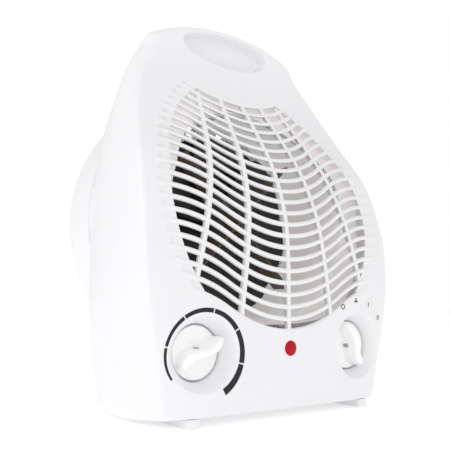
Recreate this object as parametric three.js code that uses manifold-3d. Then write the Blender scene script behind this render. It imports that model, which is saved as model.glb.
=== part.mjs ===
// Upright fan convector heater, in millimetres, +Z up, front towards -Y.
// The origin is the middle of the footprint, on the surface that the heater stands on.
import * as THREE from 'three';
import { mergeVertices } from 'three/addons/utils/BufferGeometryUtils.js';
import Module from 'manifold-3d';

const wasm = await Module();
wasm.setup();

// Driving dimensions
const FRONT_Y = -56.55;         // the front panel's plane; depths below are measured back from it
const TOP_Z = 258.5;
const WALL = 2.5;
const GAP = 0.3;
const PARTING = 72;             // depth of the joint between the two covers
const FRONT_LIFT = 5.8;         // the front of the casing stands this high on its feet
const FLOOR_BACK = 66;          // the sloping floor comes down to the ground at this depth
const REAR_DEPTH = 80;          // rear wall of the casing
const CROWN_Z = 230;            // above this height the outline closes in an elliptic crown
const CROWN_HALF = 71;
const FOOT_FILLET = 9;          // rounding of the casing's flanks and rear into its floor
const DRUM = { z: 120.6, radius: 94.5, depth: 114, chamfer: 5 };
const DIAL = { x: 60.5, z: 39.8, rim: 21.5, floor: 16.1, depth: 15.5 };
const KNOB = { radius: 15.2, front: 12, back: 15, crest: 0.6, gripHalf: 14.3, gripWidth: 6.5 };
const THERMOSTAT_POINTS_AT = 58;    // degrees clockwise from straight up
const SELECTOR_POINTS_AT = -30;
const LAMP = { z: 40.5, radius: 4.5, proud: 0.9 };
const GRILLE = { count: 21, firstZ: 54.2, pitch: 7.17, slot: 4.3, sag: 0.007, bend: 44, level: 84 };
const GRILLE_RIM = { z: 127, half: 77, above: 90, below: 86 };
const RIB = { width: 3, inset: 0.6, depth: 7 };
const SCOOP = { half: 38, middle: 244.5, above: 7.5, below: 15, depth: 74.8, wall: 2, rim: 14 };
const FAN = { radius: 55, front: 73, back: 86, hub: 17, blades: 7 };
const DUCT = { z: DRUM.z, inner: 62, outer: 63.5, front: 47, back: 70 };
const SHAFT_RADIUS = 2.5;
const SCREWS = [[-72, 16], [72, 16], [-50, 215], [50, 215]];

// Casing outline at a few heights: depth of the centre line and of the front edge,
// half-width at the front edge, at the fullest part of the flank and at the rear.
const STATIONS = [
    { z: -5, centre: 0, edge: 9, front: 79, flank: 87, rear: 86.5 },
    { z: 24, centre: 0, edge: 8, front: 85, flank: 93.5, rear: 90.5 },
    { z: 64, centre: 0, edge: 6, front: 93, flank: 100, rear: 94.5 },
    { z: 100, centre: 0.2, edge: 7, front: 96, flank: 101, rear: 95 },
    { z: 124, centre: 3.2, edge: 11.5, front: 95.3, flank: 99.5, rear: 94.5 },
    { z: 153, centre: 14, edge: 21, front: 92, flank: 96, rear: 91.5 },
    { z: 180, centre: 31, edge: 37.5, front: 85, flank: 89.5, rear: 86 },
    { z: 203, centre: 47, edge: 49.5, front: 77, flank: 82.5, rear: 78.5 },
    { z: 220, centre: 56, edge: 57, front: 69, flank: 75, rear: 72 },
    { z: 235, centre: 61, edge: 61.5, front: 60, flank: 66, rear: 64.5 },
    { z: 247, centre: 62.8, edge: 63.2, front: 54, flank: 59, rear: 57 },
    { z: 258.5, centre: 64.3, edge: 64.5, front: 40, flank: 44, rear: 42 },
];

const depthToY = (depth) => FRONT_Y + depth;

// Smooth value of one station column at a height (cubic Hermite, slopes from the neighbours).
function station(column, z) {
    let i = 0;
    while (i < STATIONS.length - 2 && STATIONS[i + 1].z < z) i += 1;
    const at = (n) => STATIONS[THREE.MathUtils.clamp(n, 0, STATIONS.length - 1)];
    const [before, low, high, after] = [at(i - 1), at(i), at(i + 1), at(i + 2)];
    const span = high.z - low.z;
    const t = THREE.MathUtils.clamp((z - low.z) / span, 0, 1);
    const slopeLow = (high[column] - before[column]) / (high.z - before.z) * span;
    const slopeHigh = (after[column] - low[column]) / (after.z - low.z) * span;
    return (2 * t ** 3 - 3 * t ** 2 + 1) * low[column] + (t ** 3 - 2 * t ** 2 + t) * slopeLow
        + (3 * t ** 2 - 2 * t ** 3) * high[column] + (t ** 3 - t ** 2) * slopeHigh;
}

// The lower panel is nearly flat across; higher up it bows evenly from edge to edge.
const bowPower = (z) => THREE.MathUtils.lerp(4, 2.1, THREE.MathUtils.smoothstep(z, 45, 110));

// Depth of the outer front surface at a place on the panel.
function panelDepth(x, z) {
    const centre = station('centre', z);
    return centre + (station('edge', z) - centre) * (Math.abs(x) / station('front', z)) ** bowPower(z);
}

function crown(z) {
    return CROWN_HALF * Math.sqrt(Math.max(0, 1 - ((z - CROWN_Z) / (TOP_Z - CROWN_Z)) ** 2));
}

// One level of the casing, as a closed ring, pulled in by an inset.
function casingRing(z, inset) {
    const lift = inset * THREE.MathUtils.smoothstep(z, 190, TOP_Z - 10);
    const level = z + lift;
    const low = THREE.MathUtils.clamp(1 - (z - inset) / FOOT_FILLET, 0, 1);
    const tuck = FOOT_FILLET * (1 - Math.sqrt(1 - low * low));
    const limit = level > CROWN_Z ? crown(level) : Infinity;
    const rear = Math.max(4, Math.min(station('rear', level), limit) - inset - tuck);
    const flank = Math.max(4, Math.min(station('flank', level), limit) - inset - tuck);
    const front = Math.max(3, Math.min(station('front', level), 0.9 * limit) - inset - 0.6 * tuck);
    const centre = station('centre', level) + inset;
    const edge = station('edge', level) + inset;
    const back = REAR_DEPTH - inset - tuck - 4 * THREE.MathUtils.smoothstep(level, CROWN_Z, TOP_Z);
    const half = [];
    for (let i = 0; i <= 3; i += 1) {
        const s = i / 3;
        half.push([front * s, centre + (edge - centre) * s ** bowPower(level)]);
    }
    const bulge = 2 * flank - (front + rear) / 2;
    const corner = 4;
    for (let i = 1; i <= 4; i += 1) {
        const t = i / 4;
        const across = (1 - t) ** 2 * front + 2 * t * (1 - t) * bulge + t ** 2 * rear;
        half.push([across, edge + (back - corner - edge) * t]);
    }
    half.push([Math.max(rear - corner, 0.6 * rear), back]);
    half.push([0.35 * rear, back]);
    const right = half.map(([x, depth]) => [x, depthToY(depth)]);
    const left = half.slice(1).reverse().map(([x, depth]) => [-x, depthToY(depth)]);
    return [...right, ...left].map(([x, y]) => new THREE.Vector3(x, y, z));
}

// Closed solid through a stack of rings, each end closed by a fan to its middle.
function loft(rings) {
    const count = rings[0].length;
    const middle = (ring) => ring.reduce((sum, p) => sum.add(p), new THREE.Vector3()).divideScalar(count);
    const points = [...rings.flat(), middle(rings[0]), middle(rings.at(-1))];
    const first = rings.length * count;
    const index = [];
    for (let level = 0; level < rings.length - 1; level += 1) {
        for (let j = 0; j < count; j += 1) {
            const a = level * count + j;
            const b = level * count + (j + 1) % count;
            index.push(a, b, b + count, a, b + count, a + count);
        }
    }
    const top = (rings.length - 1) * count;
    for (let j = 0; j < count; j += 1) {
        const next = (j + 1) % count;
        index.push(first, next, j, first + 1, top + j, top + next);
    }
    const geometry = new THREE.BufferGeometry().setFromPoints(points);
    geometry.setIndex(index);
    return geometry;
}

// Booleans
function solid(geometry) {
    const bare = geometry.clone();
    bare.deleteAttribute('normal');
    bare.deleteAttribute('uv');
    const merged = mergeVertices(bare, 1e-4);
    const vertProperties = new Float32Array(merged.attributes.position.array);
    const triVerts = new Uint32Array(merged.index.array);
    return new wasm.Manifold(new wasm.Mesh({ numProp: 3, vertProperties, triVerts }));
}

function geometryOf(body) {
    const mesh = body.getMesh();
    const geometry = new THREE.BufferGeometry();
    geometry.setAttribute('position', new THREE.BufferAttribute(new Float32Array(mesh.vertProperties), 3));
    geometry.setIndex(new THREE.BufferAttribute(new Uint32Array(mesh.triVerts), 1));
    return geometry;
}

const join = (bodies) => bodies.reduce((sum, body) => sum.add(body));
const cut = (body, tools) => tools.reduce((rest, tool) => rest.subtract(tool), body);

// Round shape about an axis along the depth, from [radius, depth] points.
function spun(profile, x, z, segments = 24) {
    const outline = profile.map(([radius, depth]) => new THREE.Vector2(radius, depthToY(depth)));
    const geometry = new THREE.LatheGeometry(outline, segments);
    return geometry.translate(x, 0, z);
}

const rod = (radius, front, back, x, z, segments = 16) =>
    spun([[0, front], [radius, front], [radius, back], [0, back]], x, z, segments);

const tube = (inner, outer, front, back, x, z, segments = 24) =>
    spun([[inner, front], [outer, front], [outer, back], [inner, back], [inner, front]], x, z, segments);

function block(width, depth, height, x, middleDepth, z) {
    return new THREE.BoxGeometry(width, depth, height).translate(x, depthToY(middleDepth), z);
}

// Prism along the depth from a front-view outline.
function prism(outline, front, back) {
    const shape = new THREE.Shape(outline.map(([x, z]) => new THREE.Vector2(x, z)));
    const geometry = new THREE.ExtrudeGeometry(shape, { depth: back - front, bevelEnabled: false });
    return geometry.rotateX(Math.PI / 2).translate(0, depthToY(back), 0);
}

// Casing
function casing(inset) {
    const rings = [];
    for (const z of [0, 1.5, 4, 8]) rings.push(casingRing(z + inset, inset));
    for (let z = 14; z < 240; z += 17) rings.push(casingRing(z, inset));
    const top = TOP_Z - 2 * inset;
    for (const drop of [12, 6, 2, 0]) rings.push(casingRing(top - drop, inset));
    return solid(loft(rings));
}

// Everything under the sloping floor of the casing, raised by a wall thickness if asked.
function underFloor(raise) {
    const outline = new THREE.Shape([
        new THREE.Vector2(depthToY(-5), -20),
        new THREE.Vector2(depthToY(130), -20),
        new THREE.Vector2(depthToY(130), raise),
        new THREE.Vector2(depthToY(FLOOR_BACK), raise),
        new THREE.Vector2(depthToY(-5), FRONT_LIFT * (1 + 5 / FLOOR_BACK) + raise),
    ]);
    const geometry = new THREE.ExtrudeGeometry(outline, { depth: 300, bevelEnabled: false });
    geometry.rotateX(Math.PI / 2).rotateZ(Math.PI / 2).translate(-150, 0, 0);
    return solid(geometry);
}

const slab = (front, back) => solid(block(300, back - front, 400, 0, (front + back) / 2, 120));

const casingOuter = casing(0).subtract(underFloor(0));
const casingHollow = casing(WALL).subtract(underFloor(WALL));
const casingWall = casingOuter.subtract(casingHollow);

// Grille slots sag at the middle: a parabola as far as the bend, which then levels out towards an oval rim.
function slotHeight(row, x) {
    const inner = Math.min(Math.abs(x), GRILLE.bend);
    const past = Math.abs(x) - inner;
    const slope = 2 * GRILLE.sag * GRILLE.bend;
    const reach = GRILLE.level - GRILLE.bend;
    return GRILLE.firstZ + row * GRILLE.pitch + GRILLE.sag * inner ** 2 + slope * (past - past ** 2 / (2 * reach));
}

function rimHalf(z) {
    const reach = z > GRILLE_RIM.z ? GRILLE_RIM.above : GRILLE_RIM.below;
    return GRILLE_RIM.half * Math.sqrt(Math.max(0, 1 - ((z - GRILLE_RIM.z) / reach) ** 2));
}

function slotHalfLength(row) {
    let x = 20;
    while (x < rimHalf(slotHeight(row, x))) x += 0.5;
    return x;
}

function slotCutter(row) {
    const half = slotHalfLength(row);
    const steps = 8;
    const upper = [];
    const lower = [];
    for (let i = 0; i <= steps; i += 1) {
        const x = half * (2 * i / steps - 1);
        const taper = i === 0 || i === steps ? 0.25 : 1;
        upper.push([x, slotHeight(row, x) + taper * GRILLE.slot / 2]);
        lower.push([x, slotHeight(row, x) - taper * GRILLE.slot / 2]);
    }
    return solid(prism([...lower, ...upper.reverse()], -5, 70));
}

// The five upright ribs behind the slot bars: place along X against height.
const RIBS = [
    { low: 48, high: 200, place: () => 0 },
    { low: 52, high: 207, place: (z) => 35.2 - 0.129 * (z - 62.7) },
    { low: 84, high: 207, place: (z) => 61.1 - 0.254 * (z - 97.3) },
];

function ribBody(rib, side) {
    const steps = 2;
    const left = [];
    const right = [];
    for (let i = 0; i <= steps; i += 1) {
        const z = rib.low + (rib.high - rib.low) * i / steps;
        left.push([side * rib.place(z) - RIB.width / 2, z]);
        right.push([side * rib.place(z) + RIB.width / 2, z]);
    }
    return solid(prism([...right, ...left.reverse()], -5, 66));
}

function ribs() {
    const layer = casing(RIB.inset).subtract(casing(RIB.depth));
    const uprights = [ribBody(RIBS[0], 1)];
    for (const rib of RIBS.slice(1)) uprights.push(ribBody(rib, -1), ribBody(rib, 1));
    return join(uprights).intersect(layer);
}

// Finger scoop under the crown: an oval, fuller below its long axis than above.
function scoopOutline(grow) {
    const steps = 32;
    return Array.from({ length: steps }, (_, i) => {
        const angle = 2 * Math.PI * i / steps;
        const reach = (angle < Math.PI ? SCOOP.above : SCOOP.below) + grow;
        return [(SCOOP.half + grow) * Math.cos(angle), SCOOP.middle + reach * Math.sin(angle)];
    });
}

// Dished seat for a dial, with a thin wall behind.
function dialSeat(x, thickness) {
    const grow = thickness;
    return solid(spun([
        [0, -3],
        [DIAL.rim + 1 + grow, -3],
        [DIAL.rim + 1 + grow, 0],
        [DIAL.rim - 1.5 + grow, 2.5],
        [DIAL.floor + grow, 11],
        [DIAL.floor + grow, DIAL.depth + grow],
        [0, DIAL.depth + grow],
    ], x, DIAL.z, 24));
}

function frontBoss([x, z]) {
    return solid(rod(4, panelDepth(x, z) + 1, PARTING - GAP, x, z, 12)).intersect(casingOuter);
}

const pilotFrom = ([x, z]) => Math.max(PARTING - 10, panelDepth(x, z) + 3.5);

function frontCover() {
    const seats = [-DIAL.x, DIAL.x].map((x) => dialSeat(x, 2).intersect(casingOuter));
    const rimZone = solid(block(200, 200, 60, 0, 0, SCOOP.middle + 12)).intersect(casingOuter);
    const rim = solid(prism(scoopOutline(SCOOP.rim), 40, PARTING - GAP / 2)).intersect(rimZone);
    const pocket = solid(prism(scoopOutline(SCOOP.wall), 60, SCOOP.depth + SCOOP.wall));
    const scoop = rim.add(pocket.intersect(casing(WALL + GAP + 0.2)));
    const shell = join([
        cut(casingWall, Array.from({ length: GRILLE.count }, (_, row) => slotCutter(row))),
        ribs(),
    ]).intersect(slab(-5, PARTING - GAP / 2));
    const body = join([shell, ...seats, scoop, ...SCREWS.map(frontBoss)]);
    return geometryOf(cut(body, [
        dialSeat(-DIAL.x, 0),
        dialSeat(DIAL.x, 0),
        solid(prism(scoopOutline(0), 40, SCOOP.depth)),
        solid(rod(3.6, 0, 30, -DIAL.x, DIAL.z)),
        solid(rod(3.6, 0, 30, DIAL.x, DIAL.z)),
        solid(rod(4.3, -5, 10, 0, LAMP.z)),
        ...SCREWS.map((spot) => solid(rod(1.7, pilotFrom(spot), PARTING + 5, ...spot, 10))),
    ]));
}

// Rear cover with the round fan drum and its air intake.
const GLAND = { x: -30, z: 17, radius: 5 };
const INTAKE = { count: 18, width: 6, rings: [[37, 56], [62, 83]] };
const MOTOR_POST = { x: 30, radius: 4, front: 104 };

function drumSolid(inset) {
    const { radius, depth, chamfer } = DRUM;
    return solid(spun([
        [0, PARTING + 1.5],
        [radius - inset, PARTING + 1.5],
        [radius - inset, depth - chamfer - inset * 0.4],
        [radius - chamfer * 0.3 - inset, depth - chamfer * 0.3 - inset],
        [radius - chamfer - inset * 0.4, depth - inset],
        [0, depth - inset],
    ], 0, DRUM.z, 48));
}

function intakeSlots() {
    const slots = [];
    for (let i = 0; i < INTAKE.count; i += 1) {
        const angle = 2 * Math.PI * i / INTAKE.count;
        for (const [inner, outer] of INTAKE.rings) {
            const slot = new THREE.BoxGeometry(outer - inner, 12, INTAKE.width);
            slot.translate((inner + outer) / 2, depthToY(DRUM.depth), 0).rotateY(angle).translate(0, 0, DRUM.z);
            slots.push(solid(slot));
        }
    }
    return slots;
}

function rearCover() {
    const rearHalf = slab(PARTING + GAP / 2, 130);
    const drumWall = drumSolid(0).subtract(drumSolid(WALL));
    const posts = [-1, 1].map((side) =>
        solid(rod(MOTOR_POST.radius, MOTOR_POST.front, DRUM.depth - 1, side * MOTOR_POST.x, DRUM.z, 16)));
    const bosses = SCREWS.map(([x, z]) =>
        solid(rod(5, PARTING + GAP / 2, REAR_DEPTH - 1, x, z, 20)).intersect(casingOuter));
    const opened = casingWall.intersect(rearHalf).subtract(drumSolid(WALL));
    const body = join([opened, drumWall.intersect(rearHalf), ...posts, ...bosses]);
    return geometryOf(cut(body, [
        ...intakeSlots(),
        ...SCREWS.map(([x, z]) => solid(rod(2.2, 60, 90, x, z, 16))),
        ...SCREWS.map(([x, z]) => solid(rod(4, REAR_DEPTH - 4, 90, x, z, 16))),
        ...[-1, 1].map((side) => solid(rod(1.7, 100, 112, side * MOTOR_POST.x, DRUM.z, 12))),
        solid(rod(GLAND.radius + GAP, 70, 90, GLAND.x, GLAND.z, 20)),
    ]));
}

// Feet: two wedges that follow the sloping floor.
const FOOT = { x: 66.3, width: 7.6, front: 4, back: 52 };

function foot(side) {
    const floorAt = (depth) => FRONT_LIFT * (1 - depth / FLOOR_BACK) - GAP;
    const shape = new THREE.Shape([
        new THREE.Vector2(depthToY(FOOT.front), 0),
        new THREE.Vector2(depthToY(FOOT.back), 0),
        new THREE.Vector2(depthToY(FOOT.back), floorAt(FOOT.back)),
        new THREE.Vector2(depthToY(FOOT.front), floorAt(FOOT.front)),
    ]);
    const geometry = new THREE.ExtrudeGeometry(shape, { depth: FOOT.width, bevelEnabled: false });
    return geometry.rotateX(Math.PI / 2).rotateZ(Math.PI / 2).translate(side * FOOT.x - FOOT.width / 2, 0, 0);
}

// Dial knob: a disc with a waved grip, on a blind socket for its spindle.
function knob(x, pointsAt) {
    const disc = solid(spun([
        [0, KNOB.front],
        [KNOB.radius - 1, KNOB.front],
        [KNOB.radius, KNOB.front + 1],
        [KNOB.radius, KNOB.back],
        [0, KNOB.back],
    ], 0, 0, 36));
    const steps = 10;
    const near = [];
    const far = [];
    for (let i = 0; i <= steps; i += 1) {
        const s = 2 * i / steps - 1;
        const wave = 1.6 * Math.sin(Math.PI * s);
        const halfWidth = KNOB.gripWidth / 2 * Math.sqrt(1.05 - s ** 4);
        near.push([wave - halfWidth, KNOB.gripHalf * s]);
        far.push([wave + halfWidth, KNOB.gripHalf * s]);
    }
    const grip = solid(prism([...near.reverse(), ...far], KNOB.crest, KNOB.back - 1));
    const socket = solid(rod(3.3, 8, KNOB.back + 2, 0, 0, 20));
    const geometry = geometryOf(disc.add(grip).subtract(socket));
    return geometry.rotateY(THREE.MathUtils.degToRad(pointsAt)).translate(x, 0, DIAL.z);
}

const spindle = (x) => rod(3, 8 + GAP, 24, x, DIAL.z, 16);

// Controls behind the panel
const CONTROL = { front: 19, back: 38, bore: 3.4 };

function thermostatBody() {
    const base = solid(block(26, 8, 34, -DIAL.x, CONTROL.front + 4, DIAL.z));
    const blades = solid(block(14, 14, 22, -DIAL.x, CONTROL.front + 14, DIAL.z + 4));
    return geometryOf(base.add(blades).subtract(solid(rod(CONTROL.bore, 10, 26, -DIAL.x, DIAL.z))));
}

function switchBody() {
    const can = solid(rod(15, CONTROL.front, CONTROL.back, DIAL.x, DIAL.z, 32));
    const tabs = [-9, -3, 3, 9].map((x) => solid(block(3, 8, 0.8, DIAL.x + x, CONTROL.back + 3, DIAL.z + 5)));
    return geometryOf(join([can, ...tabs]).subtract(solid(rod(CONTROL.bore, 10, 26, DIAL.x, DIAL.z))));
}

// Indicator: a clipped-in lens, a neon tube and its sleeve.
const lampLens = () => spun([
    [0, -LAMP.proud], [3, 0.1 - LAMP.proud], [LAMP.radius - 0.4, 0.35 - LAMP.proud], [LAMP.radius, -GAP],
    [4, -GAP], [4, 8], [2.9, 8], [2.9, 2.5], [0, 2.5],
], 0, LAMP.z, 24);

const neonTube = () => spun([
    [0, 3], [1.6, 3.6], [2.3, 5], [2.3, 15], [1.2, 16.5], [0, 16.5],
], 0, LAMP.z, 16);

const lampSleeve = () => tube(4.3, 5.6, 3, 12, 0, LAMP.z, 20);

// Heating element
const CARD = { half: 61, front: 49, back: 65, thickness: 1 };

// Two mica cards, half-lapped at the middle.
function micaCard(turn, slotFromFront) {
    const middle = (CARD.front + CARD.back) / 2;
    const card = solid(block(2 * CARD.half, CARD.back - CARD.front, CARD.thickness, 0, middle, 0));
    const [from, to] = slotFromFront ? [CARD.front - 1, middle + GAP / 2] : [middle - GAP / 2, CARD.back + 1];
    const lap = solid(block(CARD.thickness + 2 * GAP, to - from, 4, 0, (from + to) / 2, 0));
    return geometryOf(card.subtract(lap)).rotateY(turn).translate(0, 0, DUCT.z);
}

// One quarter of the winding: a wire laid back and forth between two cards.
const WINDING = { radii: [56, 48, 40, 32, 24, 16], depth: 57, wire: 1.1 };

function windingQuarter(quarter) {
    const start = Math.PI / 4 + quarter * Math.PI / 2;
    const points = [];
    WINDING.radii.forEach((radius, pass) => {
        const margin = 2.2 / radius;
        for (let i = 0; i <= 6; i += 1) {
            const s = pass % 2 === 0 ? i / 6 : 1 - i / 6;
            const angle = start + margin + (Math.PI / 2 - 2 * margin) * s;
            points.push(new THREE.Vector3(radius * Math.cos(angle), 0, radius * Math.sin(angle)));
        }
    });
    const path = new THREE.CatmullRomCurve3(points, false, 'catmullrom', 0.1);
    const { wire } = WINDING;
    const section = new THREE.Shape([
        new THREE.Vector2(wire, wire), new THREE.Vector2(-wire, wire),
        new THREE.Vector2(-wire, -wire), new THREE.Vector2(wire, -wire),
    ]);
    const geometry = new THREE.ExtrudeGeometry(section, { steps: 46, bevelEnabled: false, extrudePath: path });
    return geometry.translate(0, depthToY(WINDING.depth), DUCT.z);
}

function duct() {
    const ring = solid(tube(DUCT.inner, DUCT.outer, DUCT.front, DUCT.back, 0, DUCT.z, 40));
    const flange = solid(tube(DUCT.inner, DUCT.outer + 5, DUCT.back - 1.2, DUCT.back, 0, DUCT.z, 40));
    return geometryOf(ring.add(flange));
}

// Fan and motor
function impeller() {
    const hub = solid(spun([
        [0, FAN.front], [FAN.hub - 5, FAN.front], [FAN.hub, FAN.front + 5],
        [FAN.hub, FAN.back], [0, FAN.back],
    ], 0, 0, 32));
    const blades = [];
    for (let i = 0; i < FAN.blades; i += 1) {
        const span = FAN.radius - FAN.hub + 6;
        const blade = new THREE.BoxGeometry(span, 1.6, 27, 4, 1, 2);
        blade.translate(FAN.hub - 6 + span / 2, 0, 0);
        const place = blade.attributes.position;
        for (let n = 0; n < place.count; n += 1) {
            const reach = place.getX(n) / FAN.radius;
            const width = place.getZ(n) * (0.5 + 0.5 * reach);
            const pitch = THREE.MathUtils.degToRad(38 - 16 * reach);
            place.setZ(n, width * Math.cos(pitch));
            place.setY(n, place.getY(n) + width * Math.sin(pitch));
        }
        blade.translate(0, depthToY((FAN.front + FAN.back) / 2), 0);
        blades.push(solid(blade.rotateY(2 * Math.PI * i / FAN.blades)));
    }
    const bore = solid(rod(SHAFT_RADIUS + GAP, FAN.front + 2, FAN.back + 1, 0, 0, 16));
    return geometryOf(join([hub, ...blades]).subtract(bore)).translate(0, 0, DUCT.z);
}

const ROTOR = { radius: 10, front: 91, back: 101 };
const BRACKET = { front: 88.4, rear: 102.2, thickness: 1.4 };

function stator() {
    const core = solid(block(46, ROTOR.back - ROTOR.front, 52, 0, (ROTOR.front + ROTOR.back) / 2, DUCT.z - 8));
    const bore = solid(rod(ROTOR.radius + 0.6, 80, 110, 0, DUCT.z, 28));
    const window = solid(block(26, 30, 12, 0, 96, DUCT.z - 21));
    return geometryOf(cut(core, [bore, window]));
}

// The bobbin sits round the lower limb of the core.
function coil() {
    const outer = solid(block(25, 18, 20.4, 0, 96, DUCT.z - 30.8));
    const limb = solid(block(27, ROTOR.back - ROTOR.front + 2 * GAP, 7 + 2 * GAP + 0.4, 0, 96, DUCT.z - 30.6));
    return geometryOf(outer.subtract(limb));
}

function bearingBracket(front, bossFront) {
    const plate = solid(block(74, BRACKET.thickness, 12, 0, front + BRACKET.thickness / 2, DUCT.z));
    const boss = solid(rod(5, bossFront, bossFront + 2.9, 0, DUCT.z, 20));
    const bore = solid(rod(SHAFT_RADIUS + GAP, front - 5, front + 5, 0, DUCT.z, 16));
    const holes = [-1, 1].map((side) => solid(rod(2, front - 5, front + 5, side * MOTOR_POST.x, DUCT.z, 12)));
    return geometryOf(cut(plate.add(boss), [bore, ...holes]));
}

// Thermal cut-out: a bimetal disc in a cap with two tags, under the duct's mouth.
const CUTOUT = { x: 15, z: 48, front: 34, back: 42 };

function cutout() {
    const cap = solid(rod(7.5, CUTOUT.front, CUTOUT.back, CUTOUT.x, CUTOUT.z, 24));
    const tags = [-5, 5].map((x) => solid(block(3, 0.9, 10, CUTOUT.x + x, CUTOUT.back - 1, CUTOUT.z - 9)));
    return geometryOf(join([cap, ...tags]));
}

// Cord inlet: a flanged bush in the rear wall, and the terminal block inside it.
function cordGland() {
    return spun([
        [3.6, 70], [GLAND.radius, 70], [GLAND.radius, REAR_DEPTH + GAP], [7.5, REAR_DEPTH + GAP],
        [7.5, REAR_DEPTH + 3], [3.6, REAR_DEPTH + 3], [3.6, 70],
    ], GLAND.x, GLAND.z, 24);
}

function terminalBlock() {
    const body = solid(block(34, 16, 14, 5, 55, 16));
    const wells = [-11, 0, 11].map((x) => solid(new THREE.CylinderGeometry(2.6, 2.6, 8, 12)
        .rotateX(Math.PI / 2).translate(5 + x, depthToY(55), 22)));
    return geometryOf(cut(body, wells));
}

// Screw with a plain shank, from the outer face of its head to the end of its shank.
function screw(headRadius, headFace, end, x, z) {
    const seat = headFace + 2.2 * Math.sign(end - headFace);
    const profile = [
        [0, headFace], [headRadius, headFace], [headRadius, seat], [1.4, seat], [1.4, end], [0, end],
    ];
    return spun(end > headFace ? profile : profile.reverse(), x, z, 10);
}

// Materials
const plastic = (color, roughness = 0.35) => new THREE.MeshStandardMaterial({ color, roughness, metalness: 0 });
const metal = (color, roughness = 0.4) => new THREE.MeshStandardMaterial({ color, roughness, metalness: 1 });
const WHITE = plastic(0xf2f2f5, 0.32);
const KNOB_WHITE = plastic(0xececec, 0.3);
const BLACK = plastic(0x1a181c, 0.5);
const MICA = plastic(0xb8a58e, 0.6);
const STEEL = metal(0xa8aaad, 0.45);
const ZINC = metal(0xc4c6c8, 0.4);
const NICHROME = metal(0x6e6459, 0.5);
const COPPER = metal(0xb06a3c, 0.35);
const GLASS = new THREE.MeshStandardMaterial({ color: 0xf3d9c4, roughness: 0.1, transparent: true, opacity: 0.5 });
const LENS_RED = plastic(0xbe1423, 0.15);
const NYLON = plastic(0xd8d4c8, 0.5);

const heater = new THREE.Group();

function place(name, geometry, material) {
    const mesh = new THREE.Mesh(geometry, material);
    mesh.name = name;
    heater.add(mesh);
}

place('front_cover', frontCover(), WHITE);
place('rear_cover', rearCover(), WHITE);
place('foot_left', foot(-1), WHITE);
place('foot_right', foot(1), WHITE);
place('thermostat_knob', knob(-DIAL.x, THERMOSTAT_POINTS_AT), KNOB_WHITE);
place('thermostat_spindle', spindle(-DIAL.x), STEEL);
place('thermostat_body', thermostatBody(), NYLON);
place('selector_knob', knob(DIAL.x, SELECTOR_POINTS_AT), KNOB_WHITE);
place('selector_spindle', spindle(DIAL.x), STEEL);
place('selector_switch_body', switchBody(), NYLON);
place('heater_duct', duct(), STEEL);
place('mica_card_rising', micaCard(-Math.PI / 4, true), MICA);
place('mica_card_falling', micaCard(Math.PI / 4, false), MICA);
for (let quarter = 0; quarter < 4; quarter += 1) {
    place(`heating_winding_${quarter + 1}`, windingQuarter(quarter), NICHROME);
}
place('fan_impeller', impeller(), BLACK);
place('motor_shaft', rod(SHAFT_RADIUS, FAN.front + 2 + GAP, 108, 0, DUCT.z, 16), STEEL);
place('motor_rotor', tube(SHAFT_RADIUS + GAP, ROTOR.radius, ROTOR.front, ROTOR.back, 0, DUCT.z, 28), ZINC);
place('motor_stator', stator(), ZINC);
place('motor_coil', coil(), COPPER);
place('bearing_bracket_front', bearingBracket(BRACKET.front, BRACKET.front - 1.5), STEEL);
place('bearing_bracket_rear', bearingBracket(BRACKET.rear, BRACKET.rear), STEEL);
place('indicator_lens', lampLens(), LENS_RED);
place('neon_tube', neonTube(), GLASS);
place('lamp_sleeve', lampSleeve(), NYLON);
place('thermal_cutout', cutout(), ZINC);
place('terminal_block', terminalBlock(), NYLON);
place('cord_gland', cordGland(), BLACK);
SCREWS.forEach((spot, i) => {
    place(`cover_screw_${i + 1}`, screw(3.6, REAR_DEPTH - 1.5, pilotFrom(spot) + 1, ...spot), ZINC);
});
[-1, 1].forEach((side, i) => {
    const headFace = BRACKET.front - GAP - 2.2;
    place(`motor_screw_${i + 1}`, screw(3.2, headFace, 111, side * MOTOR_POST.x, DRUM.z), ZINC);
});

export default heater;
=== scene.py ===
"""Looks of an upright fan convector heater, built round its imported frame.

Lengths in the classes are millimetres in the frame's own directions: +X to the right as seen from the
front, +Z up, and depth measured back from the front panel's plane. Skin turns them into metres when it
makes a mesh.
"""
import logging
import math
from dataclasses import dataclass, field
from enum import Enum
from typing import Callable, Optional, Sequence

import bpy
import numpy as np
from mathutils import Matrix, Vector


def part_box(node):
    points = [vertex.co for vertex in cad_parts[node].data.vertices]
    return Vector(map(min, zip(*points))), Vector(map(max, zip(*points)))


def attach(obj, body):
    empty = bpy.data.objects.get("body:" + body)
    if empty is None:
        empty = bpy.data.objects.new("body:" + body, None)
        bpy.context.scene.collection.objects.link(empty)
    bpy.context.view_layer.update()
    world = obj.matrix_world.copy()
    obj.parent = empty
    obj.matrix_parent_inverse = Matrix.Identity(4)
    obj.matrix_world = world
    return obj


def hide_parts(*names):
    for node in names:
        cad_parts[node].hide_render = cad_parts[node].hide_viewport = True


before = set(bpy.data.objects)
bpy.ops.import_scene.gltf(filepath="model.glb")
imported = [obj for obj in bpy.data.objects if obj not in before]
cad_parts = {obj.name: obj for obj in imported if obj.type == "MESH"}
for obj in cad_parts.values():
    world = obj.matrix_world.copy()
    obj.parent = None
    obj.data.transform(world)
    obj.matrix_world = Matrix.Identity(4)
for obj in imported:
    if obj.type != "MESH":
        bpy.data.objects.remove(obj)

Array = np.ndarray
MM = 0.001
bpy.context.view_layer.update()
LENS_PROUD = 0.9        # the lens stands this far out of the panel's plane, in millimetres
PARTING = 71.85         # depth of the joint between the two covers
MOUTH_LIFT = 5.0        # the duct's mouth is this far above the fan's axis
THROAT_PAST_FAN = 2.0   # the duct's throat ends this far behind the fan
DRUM_RADIUS = 94.5
log = logging.getLogger("heater")


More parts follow.
